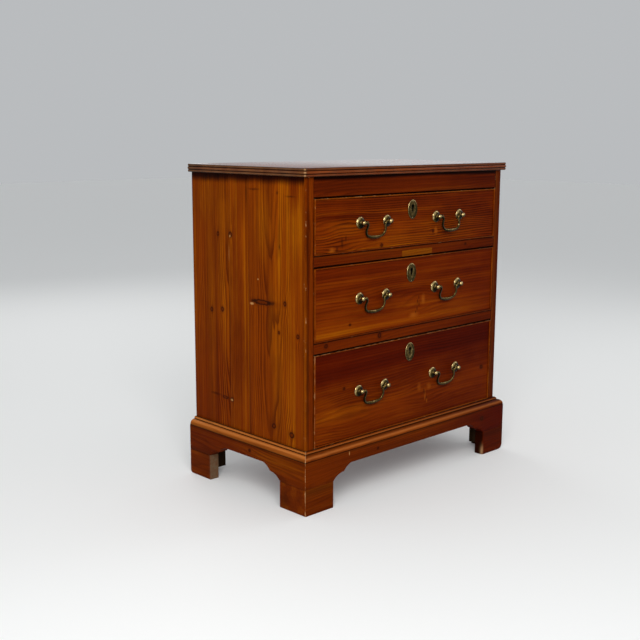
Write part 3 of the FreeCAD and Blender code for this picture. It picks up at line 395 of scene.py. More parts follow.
def round_off(points, corner, inward, radius):
    """Wear a corner round: points outside a ball that touches its faces are drawn onto the ball.

    A corner with None for an axis is an arris along that axis, and the ball becomes a rod, whose radius
    may be given point by point.
    """
    faces = [axis for axis in range(3) if corner[axis] is not None]
    towards = np.array([inward[axis] for axis in faces])
    radius = np.broadcast_to(radius, len(points))[:, None]
    centre = np.array([corner[axis] for axis in faces]) + towards * radius
    out = points[:, faces] - centre
    near = ((out * towards < 1e-9) & (out * towards > -radius - 1e-3)).all(1)
    length = np.maximum(np.linalg.norm(out, axis=1, keepdims=True), 1e-9)
    rows = np.flatnonzero(near & (length > radius)[:, 0])
    points[np.ix_(rows, faces)] = (centre + out * radius / length)[rows]
    return points


CASE_FRONT = -188.25
STILE_INNER, STILE_ARRIS = 320, 1.8
RUSSET = ("#581A01", "#702801", "#873E03", "#451201")
DEEP_RUSSET = ("#4A1401", "#5E1D01", "#733002", "#3A0D01")
SLIP_TONES = ("#6E3302", "#864604", "#9A5A0A", "#5C2702")
for side, sign, tones, marks in (
        ("left", -1, ("#5B1D01", "#742C01", "#8C4403", "#481501"),
         dict(smears=((600, -338, 150, 0.034), (300, -338, 170, 0.03)), shades=((520, -337, 330, 0.02),))),
        ("right", 1, ("#3F0F01", "#521801", "#662902", "#310901"), {})):
    low, high = corners(f"{side}_stile")
    # The inner edge beside the drawers' gap is darkened as painted shade
    grown = pine(f"waxed_pine_{side}_stile", "Z", "Y", (sign * 300, -110), tones, ring=2.6,
                 seed=3.1 * sign + 7, worn=(low, high, -1.7, 1.9, 0.6), **marks,
                 fades=(("X", sign * (STILE_INNER + 2.4), sign * (STILE_INNER + 0.4), "#2C1408", 0.95),))
    points, faces = board(low, high, (0.5, 0.5, 0.3), (2, 2, 9))
    points = round_off(points, (sign * CASE_HALF, low[1], None), (-sign, 1, 0), STILE_ARRIS)
    piece(f"{side}_front_upright", points, faces, grown, f"{side}_stile")
# Each rail's name, height of its middle, tones, depth of the painted shade along its top edge, and knots
for name, level, tones, shade_depth, knots in (
        ("lower_drawer_rail", 372, RUSSET, 2.6, ((-282, 371, 4.5, 1), (-108, 372, 5, 1.2))),
        ("upper_drawer_rail", 561, DEEP_RUSSET, 2.6, ((205, 563, 3, 1),)),
        ("top_rail", 720, DEEP_RUSSET, 11, ())):
    low, high = corners(name)
    # Painted shade along the rail's lower edge and its top edge, under the gaps and the top's overhang, and
    # darker towards the right end as painted shade
    clad(name, pine(f"waxed_pine_{name}", "X", "Y", (level - 60, -95), tones, ring=3.6, seed=level * 0.21,
                    knots=knots, lean=0.012,
                    fades=(("Z", low[2] + 1.5, low[2] - 1, "#30180C", 0.9),
                           ("Z", high[2] - shade_depth, high[2] - 0.3 * shade_depth, "#2C1408", 0.95),
                           ("X", 0, 330, "#E0CCB8", 0.9))))
points, faces = board((-34, CASE_FRONT - 0.15, 549.9), (75, CASE_FRONT + 1.05, 563.5), 0.12, (6, 1, 4))
piece("upper_rail_repair_slip", points, faces,
      pine("waxed_pine_repair_slip", "X", "Y", (500, -120), SLIP_TONES, seed=31.0))
clad("bottom_board", pine("waxed_pine_bottom_board", "X", "Z", (-140, 60), RUSSET, ring=3.0, seed=4.4))


# Top
# Three boards jointed into one, its front and ends planed to three reeds, waxed to a deeper shine.
# It lies on the case and is glued and pinned to the top rail and the back rail.
REED_DEPTH, REED_STEP, TOP_CORNER = 2.2, 1.0, 4.5
SIDE_COUNT, TURN_COUNT, FRONT_COUNT, REED_COUNT = 30, 6, 60, 9
runs = (SIDE_COUNT, TURN_COUNT, FRONT_COUNT, TURN_COUNT, SIDE_COUNT)
low, high = corners("top_board")

# The edge's section: three arcs of a bow, the middle one standing out by a step
reed = (high[2] - low[2]) / 3
bow = (reed ** 2 / 4 + REED_DEPTH ** 2) / (2 * REED_DEPTH)
climb = np.sin(np.linspace(-1, 1, REED_COUNT) * math.asin(reed / 2 / bow)) * bow
bulge = np.sqrt(bow ** 2 - climb ** 2) - bow + REED_DEPTH
inset = np.concatenate([REED_DEPTH + step - bulge for step in (REED_STEP, 0, REED_STEP)])
level = np.concatenate([low[2] + reed * (number + 0.5) + climb for number in range(3)])
inset[-1] += 0.5

# Its path, round the left end, the front and the right end: a core pushed outward by the corner's radius
centre_x, centre_y = high[0] - TOP_CORNER, low[1] + TOP_CORNER
down = np.linspace(high[1], centre_y, SIDE_COUNT)
over = np.linspace(low[0] + TOP_CORNER, centre_x, FRONT_COUNT)
turn = np.linspace(0, np.pi / 2, TURN_COUNT)
end_count = SIDE_COUNT + TURN_COUNT
core = np.column_stack([
    np.concatenate([np.full(end_count, -centre_x), over, np.full(end_count, centre_x)]),
    np.concatenate([down, np.full(2 * TURN_COUNT + FRONT_COUNT, centre_y), down[::-1]])])
bearing = np.concatenate([np.zeros(SIDE_COUNT), turn, np.full(FRONT_COUNT, np.pi / 2), np.pi / 2 + turn,
                          np.full(SIDE_COUNT, np.pi)])
outward = -np.column_stack([np.cos(bearing), np.sin(bearing)])
edge = core + TOP_CORNER * outward
along = np.linspace(0, 1500, len(edge))
hand = 0.12 + 0.12 * np.sin(along / 83) * np.sin(along / 37 + 1)
plan = edge[:, None] - outward[:, None] * (inset + hand[:, None])[..., None]
rows = np.concatenate([plan, np.broadcast_to(level, plan.shape[:2])[..., None]], 2)
count, stations = len(level), range(len(edge))
faces = [*grid_faces(len(edge), count).tolist(),
         [station * count + count - 1 for station in stations], [station * count for station in stations],
         [*range(count), *range(len(edge) * count - 1, (len(edge) - 1) * count - 1, -1)]]
grown = pine("waxed_pine_top", "X", "Z", (0, 690), RUSSET, ring=3.4, seed=21.0, gloss=0.1, wax=0.08,
             boards=(low[1], (high[1] - low[1]) / 3), worn=(low, high, 0.0, 1.6, 0.45),
             fades=(("X", -344, -353, "#C4D6CC", 0.9), ("Y", 130, 215, "#8C7464", 0.8)))

# Crests are rubbed pale, most at the corners, and carry a painted highlight, and the quirks and the underside
# of the upper reed are darkened as painted shade and soil
wear_and_highlight_along = np.repeat((0.22, 0.75, 0.12, 0.4, 0.2), runs)
wear_and_highlight_along = wear_and_highlight_along * (0.75 + 0.25 * np.sin(along / 21) * np.sin(along / 9 + 1))
crest_wear_and_highlight = (wear_and_highlight_along[:, None] * np.tile(bulge / REED_DEPTH, 3) ** 3).ravel()
reed_shade_and_soil = np.clip((inset - 0.95) / 0.9, 0, 1)
reed_shade_and_soil[2 * REED_COUNT:-1] = np.maximum(reed_shade_and_soil[2 * REED_COUNT:-1], 0.4)
reed_shade_and_soil[-1] = 0
piece("top_board_reeded", rows.reshape(-1, 3), faces, grown, "top_board",
      grime=np.tile(reed_shade_and_soil, len(edge)), chip=crest_wear_and_highlight)


# Plinth
# Pine boards mitred at the front corners and cut to a two-cove bracket over each foot, with a lower
# course of boards under them as feet. Knocks have rounded the corners and rubbed them to bare wood.
PLINTH_HALF, PLINTH_FRONT, PLINTH_BACK, PLINTH_TOP = 364, -208.75, 208.75, 123
PLINTH_THICK = 25
PLINTH_INNER, FRONT_INNER = PLINTH_HALF - PLINTH_THICK, PLINTH_FRONT + PLINTH_THICK
FOOT_TOP, APRON = 62, 94
# Where the feet end along the front, from the middle, and along a side, at its front and at its rear
FRONT_FOOT, SIDE_FOOT, REAR_FOOT = 277, -124.75, 128.75
PLINTH_KNEES = (300, 150)
# Each cove: where it ends from the foot, and its centre across and up
COVES = ((34, 33.95, 34.0), (57.5, 69.18, 51.58))
COVE_RADIUS = 44
PLINTH_WEAR = ((-PLINTH_HALF, PLINTH_FRONT, -60), (PLINTH_HALF, PLINTH_BACK, 400), 0.5, 2.6, 0.75)
PLINTH_TONES = ("#511A01", "#6A2701", "#823C04", "#3F1101")


def mitred(points, axis):
    """Draw the front end of a plinth board back to a 45 degree mitre, along X for the front, Y for a side.

    Past a knee the run along the board shrinks in proportion, so that each point at its end falls short by
    that point's depth from the face.
    """
    if axis == 0:
        end, thick, along = PLINTH_HALF, points[:, 1] - PLINTH_FRONT, np.abs(points[:, 0])
    else:
        end, thick, along = -PLINTH_FRONT, PLINTH_HALF - np.abs(points[:, 0]), -points[:, 1]
    knee = PLINTH_KNEES[axis]
    moved = np.where(along > knee, knee + (along - knee) * (end - thick - knee) / (end - knee), along)
    points[:, axis] = np.sign(points[:, 0]) * moved if axis == 0 else -moved
    return points


def arched(points, axis, first, last):
    """Lift a board's underside between two feet: two quarter coves up to the apron, then level."""
    run = np.minimum(points[:, axis] - first, last - points[:, axis])
    under = np.full(len(points), float(FOOT_TOP))
    start = 0
    for stop, across, up in COVES:
        inside = (run > start) & (run <= stop)
        under[inside] = up + np.sqrt(COVE_RADIUS ** 2 - (run[inside] - across) ** 2)
        start = stop
    under[run > start] = APRON
    points[:, 2] = under + (points[:, 2] - FOOT_TOP) * (PLINTH_TOP - under) / (PLINTH_TOP - FOOT_TOP)
    return points


def plinth_wear(points):
    """Round the two front corners of the plinth as knocks have."""
    for sign in (-1, 1):
        points = round_off(points, (sign * PLINTH_HALF, PLINTH_FRONT, None), (-sign, 1, 0), 2.4)
    return points


def seam(points):
    """Dark lines where the feet meet the boards above, clearer at the rear, and under the base moulding."""
    foot = np.where(points[:, 1] > 100, 0.9, 0.45) * np.exp(-np.abs(points[:, 2] - FOOT_TOP) / 1.1)
    return np.maximum(foot, np.exp(-(PLINTH_TOP - points[:, 2]) / 0.6))


def joined(parts):
    """One set of points and faces from several."""
    counts = np.cumsum([0] + [len(points) for points, _ in parts[:-1]])
    return (np.concatenate([points for points, _ in parts]),
            [[corner + int(count) for corner in face] for (_, faces), count in zip(parts, counts)
             for face in np.asarray(faces).tolist()])


cove_ends = [stop for stop, _, _ in COVES]
cusps = [sign * (FRONT_FOOT - run) for sign in (-1, 1) for run in (0, 0.1, *cove_ends)]
points, faces = board((-PLINTH_HALF, PLINTH_FRONT, FOOT_TOP), (PLINTH_HALF, FRONT_INNER, PLINTH_TOP),
                      (0.3, 0.8, 0.8), (5, 25, 10), (cusps, (), ()))
points = plinth_wear(mitred(arched(points, 0, -FRONT_FOOT, FRONT_FOOT), 0))
# Darker towards the right end as painted shade
grown = pine("waxed_pine_plinth_front", "X", "Y", (60, -150), PLINTH_TONES, ring=3.2, seed=9.3, streaks=0.65,
             knots=((270, 101, 5.5, 1), (-130, 108, 3, 1)), scars=((-226, 117, 1.2, 4),), worn=PLINTH_WEAR,
             fades=(("X", 0, 340, "#C07470", 1.0),))
piece("plinth_front_board", points, faces, grown, "plinth_front", grime=seam(points))
cusps = [SIDE_FOOT + run for run in (0, -0.1, *cove_ends)] + [REAR_FOOT - run for run in (0, 0.1, *cove_ends)]
for side, sign in (("left", -1), ("right", 1)):
    points, faces = board((sign * PLINTH_HALF, PLINTH_FRONT, FOOT_TOP),
                          (sign * PLINTH_INNER, PLINTH_BACK, PLINTH_TOP),
                          (0.8, 0.3, 0.8), (25, 5, 10), ((), cusps, ()))
    points = plinth_wear(mitred(arched(points, 1, SIDE_FOOT, REAR_FOOT), 1))
    # The left board is darker towards the rear as painted shade
    grown = pine(f"waxed_pine_plinth_{side}", "Y", "X", (70, sign * 300), PLINTH_TONES, ring=3.4,
                 seed=13.7 * sign, streaks=0.8, knots=((20 * sign, 110, 3.5, 1),),
                 glows=((-130, 106, 80, 0.25),), worn=PLINTH_WEAR,
                 fades=(("Y", -40, 60, "#E0C8B4", 0.9),) if sign < 0 else ())
    piece(f"plinth_{side}_board", points, faces, grown, f"plinth_{side}", grime=seam(points))

FOOT_STEP = (3, 3, 3)
front_parts, rear_parts = [], []
for sign in (-1, 1):
    outer = (sign * PLINTH_HALF, PLINTH_FRONT, 0)
    for axis, inner, arris in ((0, (sign * FRONT_FOOT, FRONT_INNER, FOOT_TOP), (0.3, 0.8, 0.8)),
                               (1, (sign * PLINTH_INNER, SIDE_FOOT, FOOT_TOP), (0.8, 0.3, 0.8))):
        points, faces = board(outer, inner, arris, FOOT_STEP)
        front_parts.append((mitred(points, axis), faces))
points, faces = joined(front_parts)
points = plinth_wear(points)
x, y, z = points.T
knocked = 1 + 17 * np.clip(1 - (y - PLINTH_FRONT) / 50, 0, 1)
points = round_off(points, (PLINTH_HALF, None, 0), (-1, 0, 1), knocked)
points = round_off(points, (FRONT_FOOT, PLINTH_FRONT, None), (1, 1, 0), 1 + 7 * np.clip(1 - z / 40, 0, 1))
points = round_off(points, (-PLINTH_HALF, None, 0), (1, 0, 1), 3)
# Darker towards the right foot as painted shade
grown = pine("waxed_pine_front_feet", "X", "Y", (-10, -130), PLINTH_TONES, ring=3.0, seed=17.9,
             worn=PLINTH_WEAR, fades=(("X", 150, 270, "#D8ACA8", 1.0),))

# Soil under the seam and low on the sides, sawn inner ends darkened as painted shade and dirt, and a fresh
# break at the right foot's inner end
smudge = (0.4 * np.exp(-((z - 55) / 9) ** 2) + 0.13) * (y < PLINTH_FRONT + 0.75)
smudge += 0.45 * np.exp(-((y + 140) / 14) ** 2 - ((z - 22) / 18) ** 2)
inner_end_shade_and_dirt = (np.abs(x) < FRONT_FOOT + 0.1) | (y > SIDE_FOOT - 0.1)
inner_end_shade_and_dirt |= (y > FRONT_INNER - 0.25) & (np.abs(x) < PLINTH_INNER + 0.1)
chip = np.exp(-((x - FRONT_FOOT) / 3) ** 2 - ((y - PLINTH_FRONT) / 6) ** 2 - ((z - 8) / 14) ** 2)
piece("front_bracket_feet", points, faces, grown, "front_feet", chip=chip,
      grime=np.maximum(np.maximum(seam(points), smudge), 0.95 * inner_end_shade_and_dirt * (chip < 0.3)))

# The rear brackets run across behind the side feet and taper towards the floor
BRACKET_WIDTH, BRACKET_FOOT, BRACKET_THICK = 70, 45, 22
for sign in (-1, 1):
    points, faces = board((sign * PLINTH_HALF, REAR_FOOT, 0), (sign * PLINTH_INNER, PLINTH_BACK, FOOT_TOP),
                          0.8, FOOT_STEP)
    rear_parts.append((round_off(points, (None, PLINTH_BACK, 0), (0, -1, 1), 10), faces))
    points, faces = board((sign * PLINTH_INNER, PLINTH_BACK - BRACKET_THICK, 0),
                          (sign * (PLINTH_INNER - BRACKET_WIDTH), PLINTH_BACK, PLINTH_TOP), 0.8, (5, 22, 5),
                          ((), (), (FOOT_TOP,)))
    width = BRACKET_FOOT + (BRACKET_WIDTH - BRACKET_FOOT) * np.clip(points[:, 2] / FOOT_TOP, 0, 1)
    points[:, 0] = sign * (PLINTH_INNER + (np.abs(points[:, 0]) - PLINTH_INNER) * width / BRACKET_WIDTH)
    rear_parts.append((points, faces))
points, faces = joined(rear_parts)
grown = pine("waxed_pine_rear_feet", "Y", "X", (30, 290), PLINTH_TONES, ring=3.0, seed=19.1, worn=PLINTH_WEAR)
sawn = np.maximum(np.exp(-(points[:, 1] - REAR_FOOT) / 1.5), np.abs(points[:, 0]) < PLINTH_INNER - 0.1)
piece("rear_bracket_feet", points, faces, grown, "rear_feet", grime=seam(points), raw=sawn)


# Base moulding
# Strips planed to an ovolo under a small bead, mitred at the front corners and glued on over the plinth.
# Their upper curves carry a painted highlight, and the ovolo's flanks and the quirk under the bead are
# darkened as painted shade.
def strip(rows):
    """A closed section carried along stations, an array of stations by section points, its ends capped."""
    stations, count = rows.shape[:2]
    caps = [list(range(count)), list(range((stations - 1) * count, stations * count))]
    return rows.reshape(-1, 3), grid_faces(stations, count, around=True).tolist() + caps


# The section, out from the case and up from the plinth: a flat, the ovolo's arc, a quirk and the bead's arc
REACH = 19.3
OVOLO = slice(3, 15)
swing = np.radians(np.linspace(3.9, 85.5, 12))
nose = np.radians(np.linspace(-79.1, 79.1, 11))
section = np.concatenate([
    [(0, 0), (REACH, 0), (REACH, 1.2)],
    np.stack([6.83 + 12.5 * np.cos(swing), 0.74 + 12.5 * np.sin(swing)], 1),
    [(5.2, 13.2)],
    np.stack([4.558 + 2.342 * np.cos(nose), 15.5 + 2.342 * np.sin(nose)], 1),
    [(5, 18.6), (4.6, 19), (0, 19)]])
out, up = section.T

# Painted shade in the hollows, on the ovolo's flanks and on the front's bead under the drawer, dirt in the
# joints, and a painted highlight on the crests, point by point of the section
rise = np.linspace(0, 1, len(swing))
side_shade_and_dirt = np.zeros(len(section))
side_shade_and_dirt[[0, 1, 2, 15, 16, 17, -3, -2, -1]] = (1, 1, 0.95, 1, 1, 0.5, 0.5, 0.95, 1)
front_shade_and_dirt = side_shade_and_dirt.copy()
side_shade_and_dirt[OVOLO] = 0.6 * np.exp(-rise / 0.12) + np.exp((rise - 1) / 0.09)
front_shade_and_dirt[OVOLO] = 0.4 * np.exp(-rise / 0.1) + 0.85 * rise ** 2
front_shade_and_dirt[18:26] = 0.3
side_shine, front_shine = np.zeros((2, len(section)))
side_shine[OVOLO] = 0.65 * np.exp(-((rise - 0.62) / 0.17) ** 2)
side_shine[19:25] = 0.3
front_shine[OVOLO] = 0.36 * np.exp(-((rise - 0.36) / 0.15) ** 2)
front_shine[20:24] = 0.3
share = np.concatenate([[-1, -0.9955], np.linspace(-0.985, 0.985, 56), [0.9955, 1]])[:, None]
mitre_worn = np.where(np.abs(share) > 0.999, 0.75, 0.0) * (up > 1)
corner_x, front = CASE_HALF + REACH, CASE_FRONT - out
# Tones per strip are lit and shaded copies as painted light, the left lightest and the front darkest; the
# front also darkens towards its right end as painted shade
for side, sign, grain, face, tones, shade_and_dirt, shine in (
        ("front", 0, "X", "Y", ("#602304", "#7C3509", "#934610", "#491703"), front_shade_and_dirt, front_shine),
        ("left", -1, "Y", "X", ("#8C4612", "#AA6024", "#C07838", "#6C3008"), side_shade_and_dirt, side_shine),
        ("right", 1, "Y", "X", ("#7A3A0C", "#98541A", "#AC682C", "#5E2806"), side_shade_and_dirt, side_shine)):
    x = (sign or share) * (CASE_HALF + out)
    y = front + (share + 1) / 2 * (PLINTH_BACK - front) if sign else front
    points, faces = strip(np.stack(np.broadcast_arrays(x, y, PLINTH_TOP + up), 2))
    for end in (-1, 1):
        points = round_off(points, (end * corner_x, CASE_FRONT - REACH, None), (-end, 1, 0), 1.6)
    grown = pine(f"waxed_pine_base_moulding_{side}", grain, face, (100, -150), tones, ring=2.4, gloss=0.32,
                 seed=len(side) * 2.3, fades=() if sign else (("X", 0, 340, "#C09890", 0.9),),
                 worn=((-corner_x, CASE_FRONT - REACH, 60), (corner_x, PLINTH_BACK, 300), 0.8, 2.6, 0.75))
    piece(f"base_moulding_{side}_strip", points, faces, grown, f"base_moulding_{side}",
          grime=np.tile(shade_and_dirt, len(share)), rubbed=np.tile(shine, len(share)),
          chip=(mitre_worn * (share < 0) if sign else mitre_worn).ravel())


# Drawer fronts
# Single wide pine boards, dark red where the stain has gathered near the top edge and more orange below,
# and bare behind. Flat-sawn arches and knots show in them, and thin cock beads are glued and pinned round
# their edges.
BARE_TONES = ("#5E4023", "#765433", "#8A6842", "#462C16")
FRONT_TONES = ("#5F1F01", "#772C01", "#914402", "#461401")
BEAD_TONES = ("#5E2101", "#783003", "#8F4608", "#481501")
BEAD_WIDTH = 3.2
HANDLE_LEVELS = {"upper_drawer": 637.15, "middle_drawer": 466.1, "lower_drawer": 250.8}
HANDLE_OFFSET = 132
drawer_fronts = {
    # tint at the top, shares of the height it spreads over, the bead's wear and painted highlight (least
    # width, width, share), and the wood: heart (height, depth), ring, lean, strengths and marks (along X,
    # height, radius, spread)
    "upper_drawer": ("#DCC8B0", (0.3, 1.0), (-0.6, 1.5, 0.55), dict(
        heart=(470, -150), ring=5.6, lean=0.015, lines=1.1, streaks=0.95,
        knots=((-105, 582, 4, 1), (77, 603, 2.5, 1.5)),
        swirls=((-232, 594, 11, 1.3), (-290, 634, 9, 1.2), (-215, 634, 9, 1.2)),
        smears=((-234, 596, 3.5, 3.5), (-222, 606, 2.5, 3), (-250, 584, 3, 2)),
        flames=((-265, 581, 8, 0.8), (88, 604, 5, 2)),
        glows=((-40, 590, 130, 0.15), (170, 612, 130, 0.26), (-215, 632, 55, 0.3)),
        shades=((-250, 656, 90, 0.1),))),
    "middle_drawer": ("#D8BCA8", (0.25, 1.0), (-1.0, 1.4, 0.5), dict(
        heart=(260, -140), ring=7, lean=-0.012, lines=0.4, streaks=0.75,
        knots=((-207, 409, 3, 1),),
        swirls=((30, 432, 12, 1.4), (-60, 450, 14, 1)),
        smears=((30, 446, 2.2, 2.4), (25, 438, 2.2, 2.4), (31, 429, 2.2, 2.4), (24, 420, 2.2, 2.4),
                (19, 412, 2, 2)),
        flames=((46, 440, 6, 2.0), (12, 406, 14, 0.5)),
        glows=((-255, 392, 95, 0.2), (190, 408, 100, 0.22)),
        shades=((-60, 465, 110, 0.14), (-110, 428, 110, 0.14)))),
    "lower_drawer": ("#B07A60", (0.12, 0.8), (0.0, 1.6, 0.6), dict(
        heart=(60, -150), ring=7, lean=0.015, lines=0.5, streaks=0.75,
        knots=((287, 233, 5, 1), (-224, 264, 3, 1)),
        swirls=((57, 206, 14, 1.3), (-200, 200, 18, 1)),
        smears=((56, 211, 2.2, 3), (60, 204, 2.0, 3), (66, 190, 2, 3)),
        flames=((38, 223, 6, 1.6), (75, 219, 7, 1.2), (61, 198, 3, 4), (68, 184, 2, 3)),
        glows=((-235, 208, 110, 0.24), (-200, 250, 120, 0.15)),
        shades=((-150, 162, 180, 0.14), (130, 164, 200, 0.14)))),
}
for drawer, (tint, tinted, bead_wear_and_highlight, wood) in drawer_fronts.items():
    low, high = corners(f"{drawer}_cock_beads")
    heart_level = wood["heart"][0]
    # The beads are worn and carry a painted highlight along their arrises, and painted shade on their top and
    # bottom edges deepens the gaps
    clad(f"{drawer}_cock_beads", pine(
        f"waxed_pine_{drawer}_beads", "X", "Y", (300, -150), BEAD_TONES, ring=2.2, seed=heart_level * 0.3,
        worn=(low, high, *bead_wear_and_highlight), gloss=0.33,
        fades=(("Z", high[2] - 1.5, high[2] - 0.5, "#381808", 0.95),
               ("Z", low[2] + 2.4, low[2] + 0.8, "#4C2818", 0.9))))
    # A painted shadow under each bail, set down and to the left as its shadow falls and standing also for
    # soil from hands, and painted shade with gathered wax along the creases inside the beads
    bail_shadow_and_soil = [(sign * HANDLE_OFFSET - 4, HANDLE_LEVELS[drawer] - 41, 24, 0.17) for sign in (-1, 1)]
    dull, deep = (low[2] + part * (high[2] - low[2]) for part in tinted)
    crease_shade_and_wax = [(axis, edge + inward * (BEAD_WIDTH + 2), edge + inward * BEAD_WIDTH, "#502418", 0.85)
               for axis, edge, inward in (("X", low[0], 1), ("X", high[0], -1),
                                          ("Z", low[2], 1), ("Z", high[2], -1))]
    # The front is tinted darker towards the top, and darker towards its right end as painted shade
    clad(f"{drawer}_front", pine(
        f"waxed_pine_{drawer}_front", "X", "Y", tones=FRONT_TONES, seed=heart_level * 0.11, fine=0.6, band=18,
        **{**wood, "shades": (*wood["shades"], *bail_shadow_and_soil)},
        unstained=("Y", CASE_FRONT + 1.75, CASE_FRONT + 3.75, BARE_TONES),
        fades=(("Z", dull, deep, tint, 1.0), ("X", -60, 330, "#E0C4BC", 0.9), *crease_shade_and_wax)))


# Drawer linings and the inside of the case
# Sides, backs and bottoms of the drawers, runners, stops and back boards are pine left from the plane:
# no stain or wax, gone dull straw and grey-brown with age.
STRAW = ("#7A5A36", "#967448", "#AA8A5C", "#5E4226")
DUSTY = ("#4A3A2A", "#5F4A34", "#75604A", "#38291C")
for drawer in drawer_fronts:
    for part, grain, face, heart in (("sides", "Y", "X", (100, 250)), ("back", "X", "Y", (300, 100)),
                                     ("bottom", "X", "Z", (0, 60))):
        clad(f"{drawer}_{part}", pine(f"planed_pine_{drawer}_{part}", grain, face, heart, STRAW, ring=4.2,
                                      seed=len(part) + heart[0] * 0.1, lines=0.6, gloss=0.62))
for name, grain, face in (("drawer_runners", "Y", "Z"), ("drawer_kickers", "Y", "Z"),
                          ("top_back_rail", "X", "Y"), ("drawer_stops", "X", "Z"), ("foot_blocks", "Z", "X")):
    clad(name, pine(f"sawn_pine_{name}", grain, face, (40, 120), DUSTY, ring=4.0, seed=len(name) * 1.7,
                    lines=0.6, gloss=0.68, fades=(("Z", 130, 90, "#6A6058", 0.9),)))
low, high = corners("back_boards")
pitch = (high[0] - low[0]) / 4
nails = [(level, low[0] + pitch * (number + part), 2.4, 1.0)
         for level in (733, 133) for number in range(4) for part in (0.2, 0.8)]
clad("back_boards", pine(
    "sawn_pine_back_boards", "Z", "Y", (low[0] + 60, 120), DUSTY, ring=4.4, seed=18.7, lines=0.7, gloss=0.68,
    boards=(low[0], pitch), smears=nails, fades=(("Z", 150, 100, "#8A8078", 0.9),),
    knots=((560, -262, 7, 1), (300, -70, 6, 1.1), (420, 118, 8, 1), (190, 250, 6, 1))))


# Handles
# Cast brass: a turned rose and a ball post at each end, and a swan-neck bail whose pins turn in the balls.
# Each post's shank runs through the drawer front to a square nut inside. Tarnish lies in the hollows,
# and the balls, the rims and the bails' inner sides are rubbed bright and given a painted highlight,
# brightest on the upper left, with painted shade on the lower right and on the bails' outer sides.
def brass(name, bright, dull):
    """Cast brass, browned with age, brighter where its attribute holds polish from hands and painted
    highlight, and darker where it holds painted shade.

    The eye gets brown metal in patches of about 4.5 mm, which is 220 to the metre, with glints where that
    attribute is high, and a casting grain of 1.1 mm, 900 to the metre.
    """
    material, shader, add = blank(name)
    place = add("TexCoord", out="Object")
    patch = add("TexNoise", {"Vector": place, "Scale": 220, "Detail": 5, "Roughness": 0.65})
    rub = add("Attribute", out="Fac", attribute_name="rub")
    polish_and_light = add("Math MULTIPLY_ADD", (patch, 0.9, rub))
    colour = add("ValToRGB", (polish_and_light,),
                 stops=((0.3, "#0F0C05"), (1.05, bright), (0.55, dull), (0.8, "#5E4C26")))
    rough = add("MapRange", (polish_and_light, 0.4, 1.0, 0.34, 0.16))
    grain = add("TexNoise", {"Vector": place, "Scale": 900, "Detail": 3})
    bump = add("Bump", {"Height": grain, "Strength": 0.25, "Distance": 0.0002})
    fill(shader, {"Base Color": colour, "Metallic": 1.0, "Roughness": rough, "Normal": bump})
    return material


def turned(profile, centre, around=28):
    """A profile of radius and distance out from the drawer's face, turned about an axis along Y."""
    radius, out = np.array(profile, float).T[..., None]
    angle = np.linspace(0, 2 * np.pi, around, endpoint=False)
    rings = np.stack(np.broadcast_arrays(radius * np.cos(angle), -out, radius * np.sin(angle)), 2)
    return (rings + np.array(centre)).reshape(-1, 3), grid_faces(len(out), around, around=True)


HALF_SPACING, POST_REACH, BALL = 44.45, 11, 6.0
BAIL_THIN, BAIL_THICK, SHOULDER, PIN = 2.2, 3.3, 3.3, 1.9
# From a post's axis to the ball's side, the play beside it, how far the pin runs past, and a bail's lean
BALL_SIDE, PLAY, PIN_PAST, BAIL_LEAN = 5.5, 0.8, 3.5, 12.04
aged_brass = brass("cast_brass_rubbed", "#B09866", "#302810")
rose_profile = [(0, 0), (13.6, 0), (13.7, 0.6), (13.5, 1.1), (13.0, 1.5), (12.2, 2.2), (11.0, 3.1),
                (9.6, 3.95), (8.0, 4.6), (6.6, 4.9), (5.6, 4.8), (4.9, 4.5), (4.3, 4.2), (0, 4.2)]
ball = np.radians(np.linspace(35, 180, 14))
post_profile = [(0, 4.0), (5.0, 4.1), (5.1, 4.6), (4.6, 5.0), (3.8, 5.4), (3.45, 5.9),
                *zip(BALL * np.sin(ball), POST_REACH - BALL * np.cos(ball))]
tip_profile = [(0, -19.5), (3, -19.5), (3, -25.6), (2.6, -26), (0, -26)]

# How bright each ring of a profile is, rubbed and with a painted highlight, and a painted highlight on the
# upper left with painted shade on the lower right
upper_left_light = 0.42 * np.sin(np.linspace(0, 2 * np.pi, 28, endpoint=False) - 0.9)
rose_rub_and_light, post_rub_and_light = ((np.array(rings)[:, None] + upper_left_light).ravel() for rings in (
    [0, 0, 0.15, 0.26, 0.3, 0.26, 0.1, -0.06, -0.16, -0.2, -0.22, -0.22, -0.22, -0.22],
    [0, 0, 0.1, 0, -0.1, -0.1, *np.linspace(0.06, 0.3, 14)]))

# A bail's centre line: headings change evenly with length round each arc (radius, angle), and places add up
# from them, first coarsely to find how long the grip is, then finely
BAIL_ARCS = ((6, 90), (14, 25), (15, -103))
GRIP_TURN, COARSE, STEPS = 12, 0.05, 4000
shoulder_x = HALF_SPACING - BALL_SIDE - PLAY - SHOULDER
pin_end = HALF_SPACING + PIN_PAST
pin_length = pin_end - shoulder_x
lengths = [pin_length] + [radius * abs(math.radians(angle)) for radius, angle in BAIL_ARCS]
headings = np.cumsum([180, 0] + [angle for _, angle in BAIL_ARCS])
travel = np.arange(0, sum(lengths) + COARSE, COARSE)
heading = np.radians(np.interp(travel, np.cumsum([0] + lengths), headings))
grip_x = pin_end + np.sum(np.cos(heading)) * COARSE
grip_length = grip_x / math.sin(math.radians(GRIP_TURN)) * math.radians(GRIP_TURN)
lengths.append(grip_length)
headings = np.append(headings, headings[-1] - GRIP_TURN)
total = sum(lengths)
travel = np.linspace(0, total, STEPS + 1)
heading = np.radians(np.interp(travel, np.cumsum([0] + lengths), headings))
path_x, path_z = (np.append(0, np.cumsum((way[1:] + way[:-1]) / 2)) * total / STEPS
                  for way in (np.cos(heading), np.sin(heading)))
from_shoulder = travel - pin_length
swell = np.clip((total - travel) / grip_length, 0, 1)
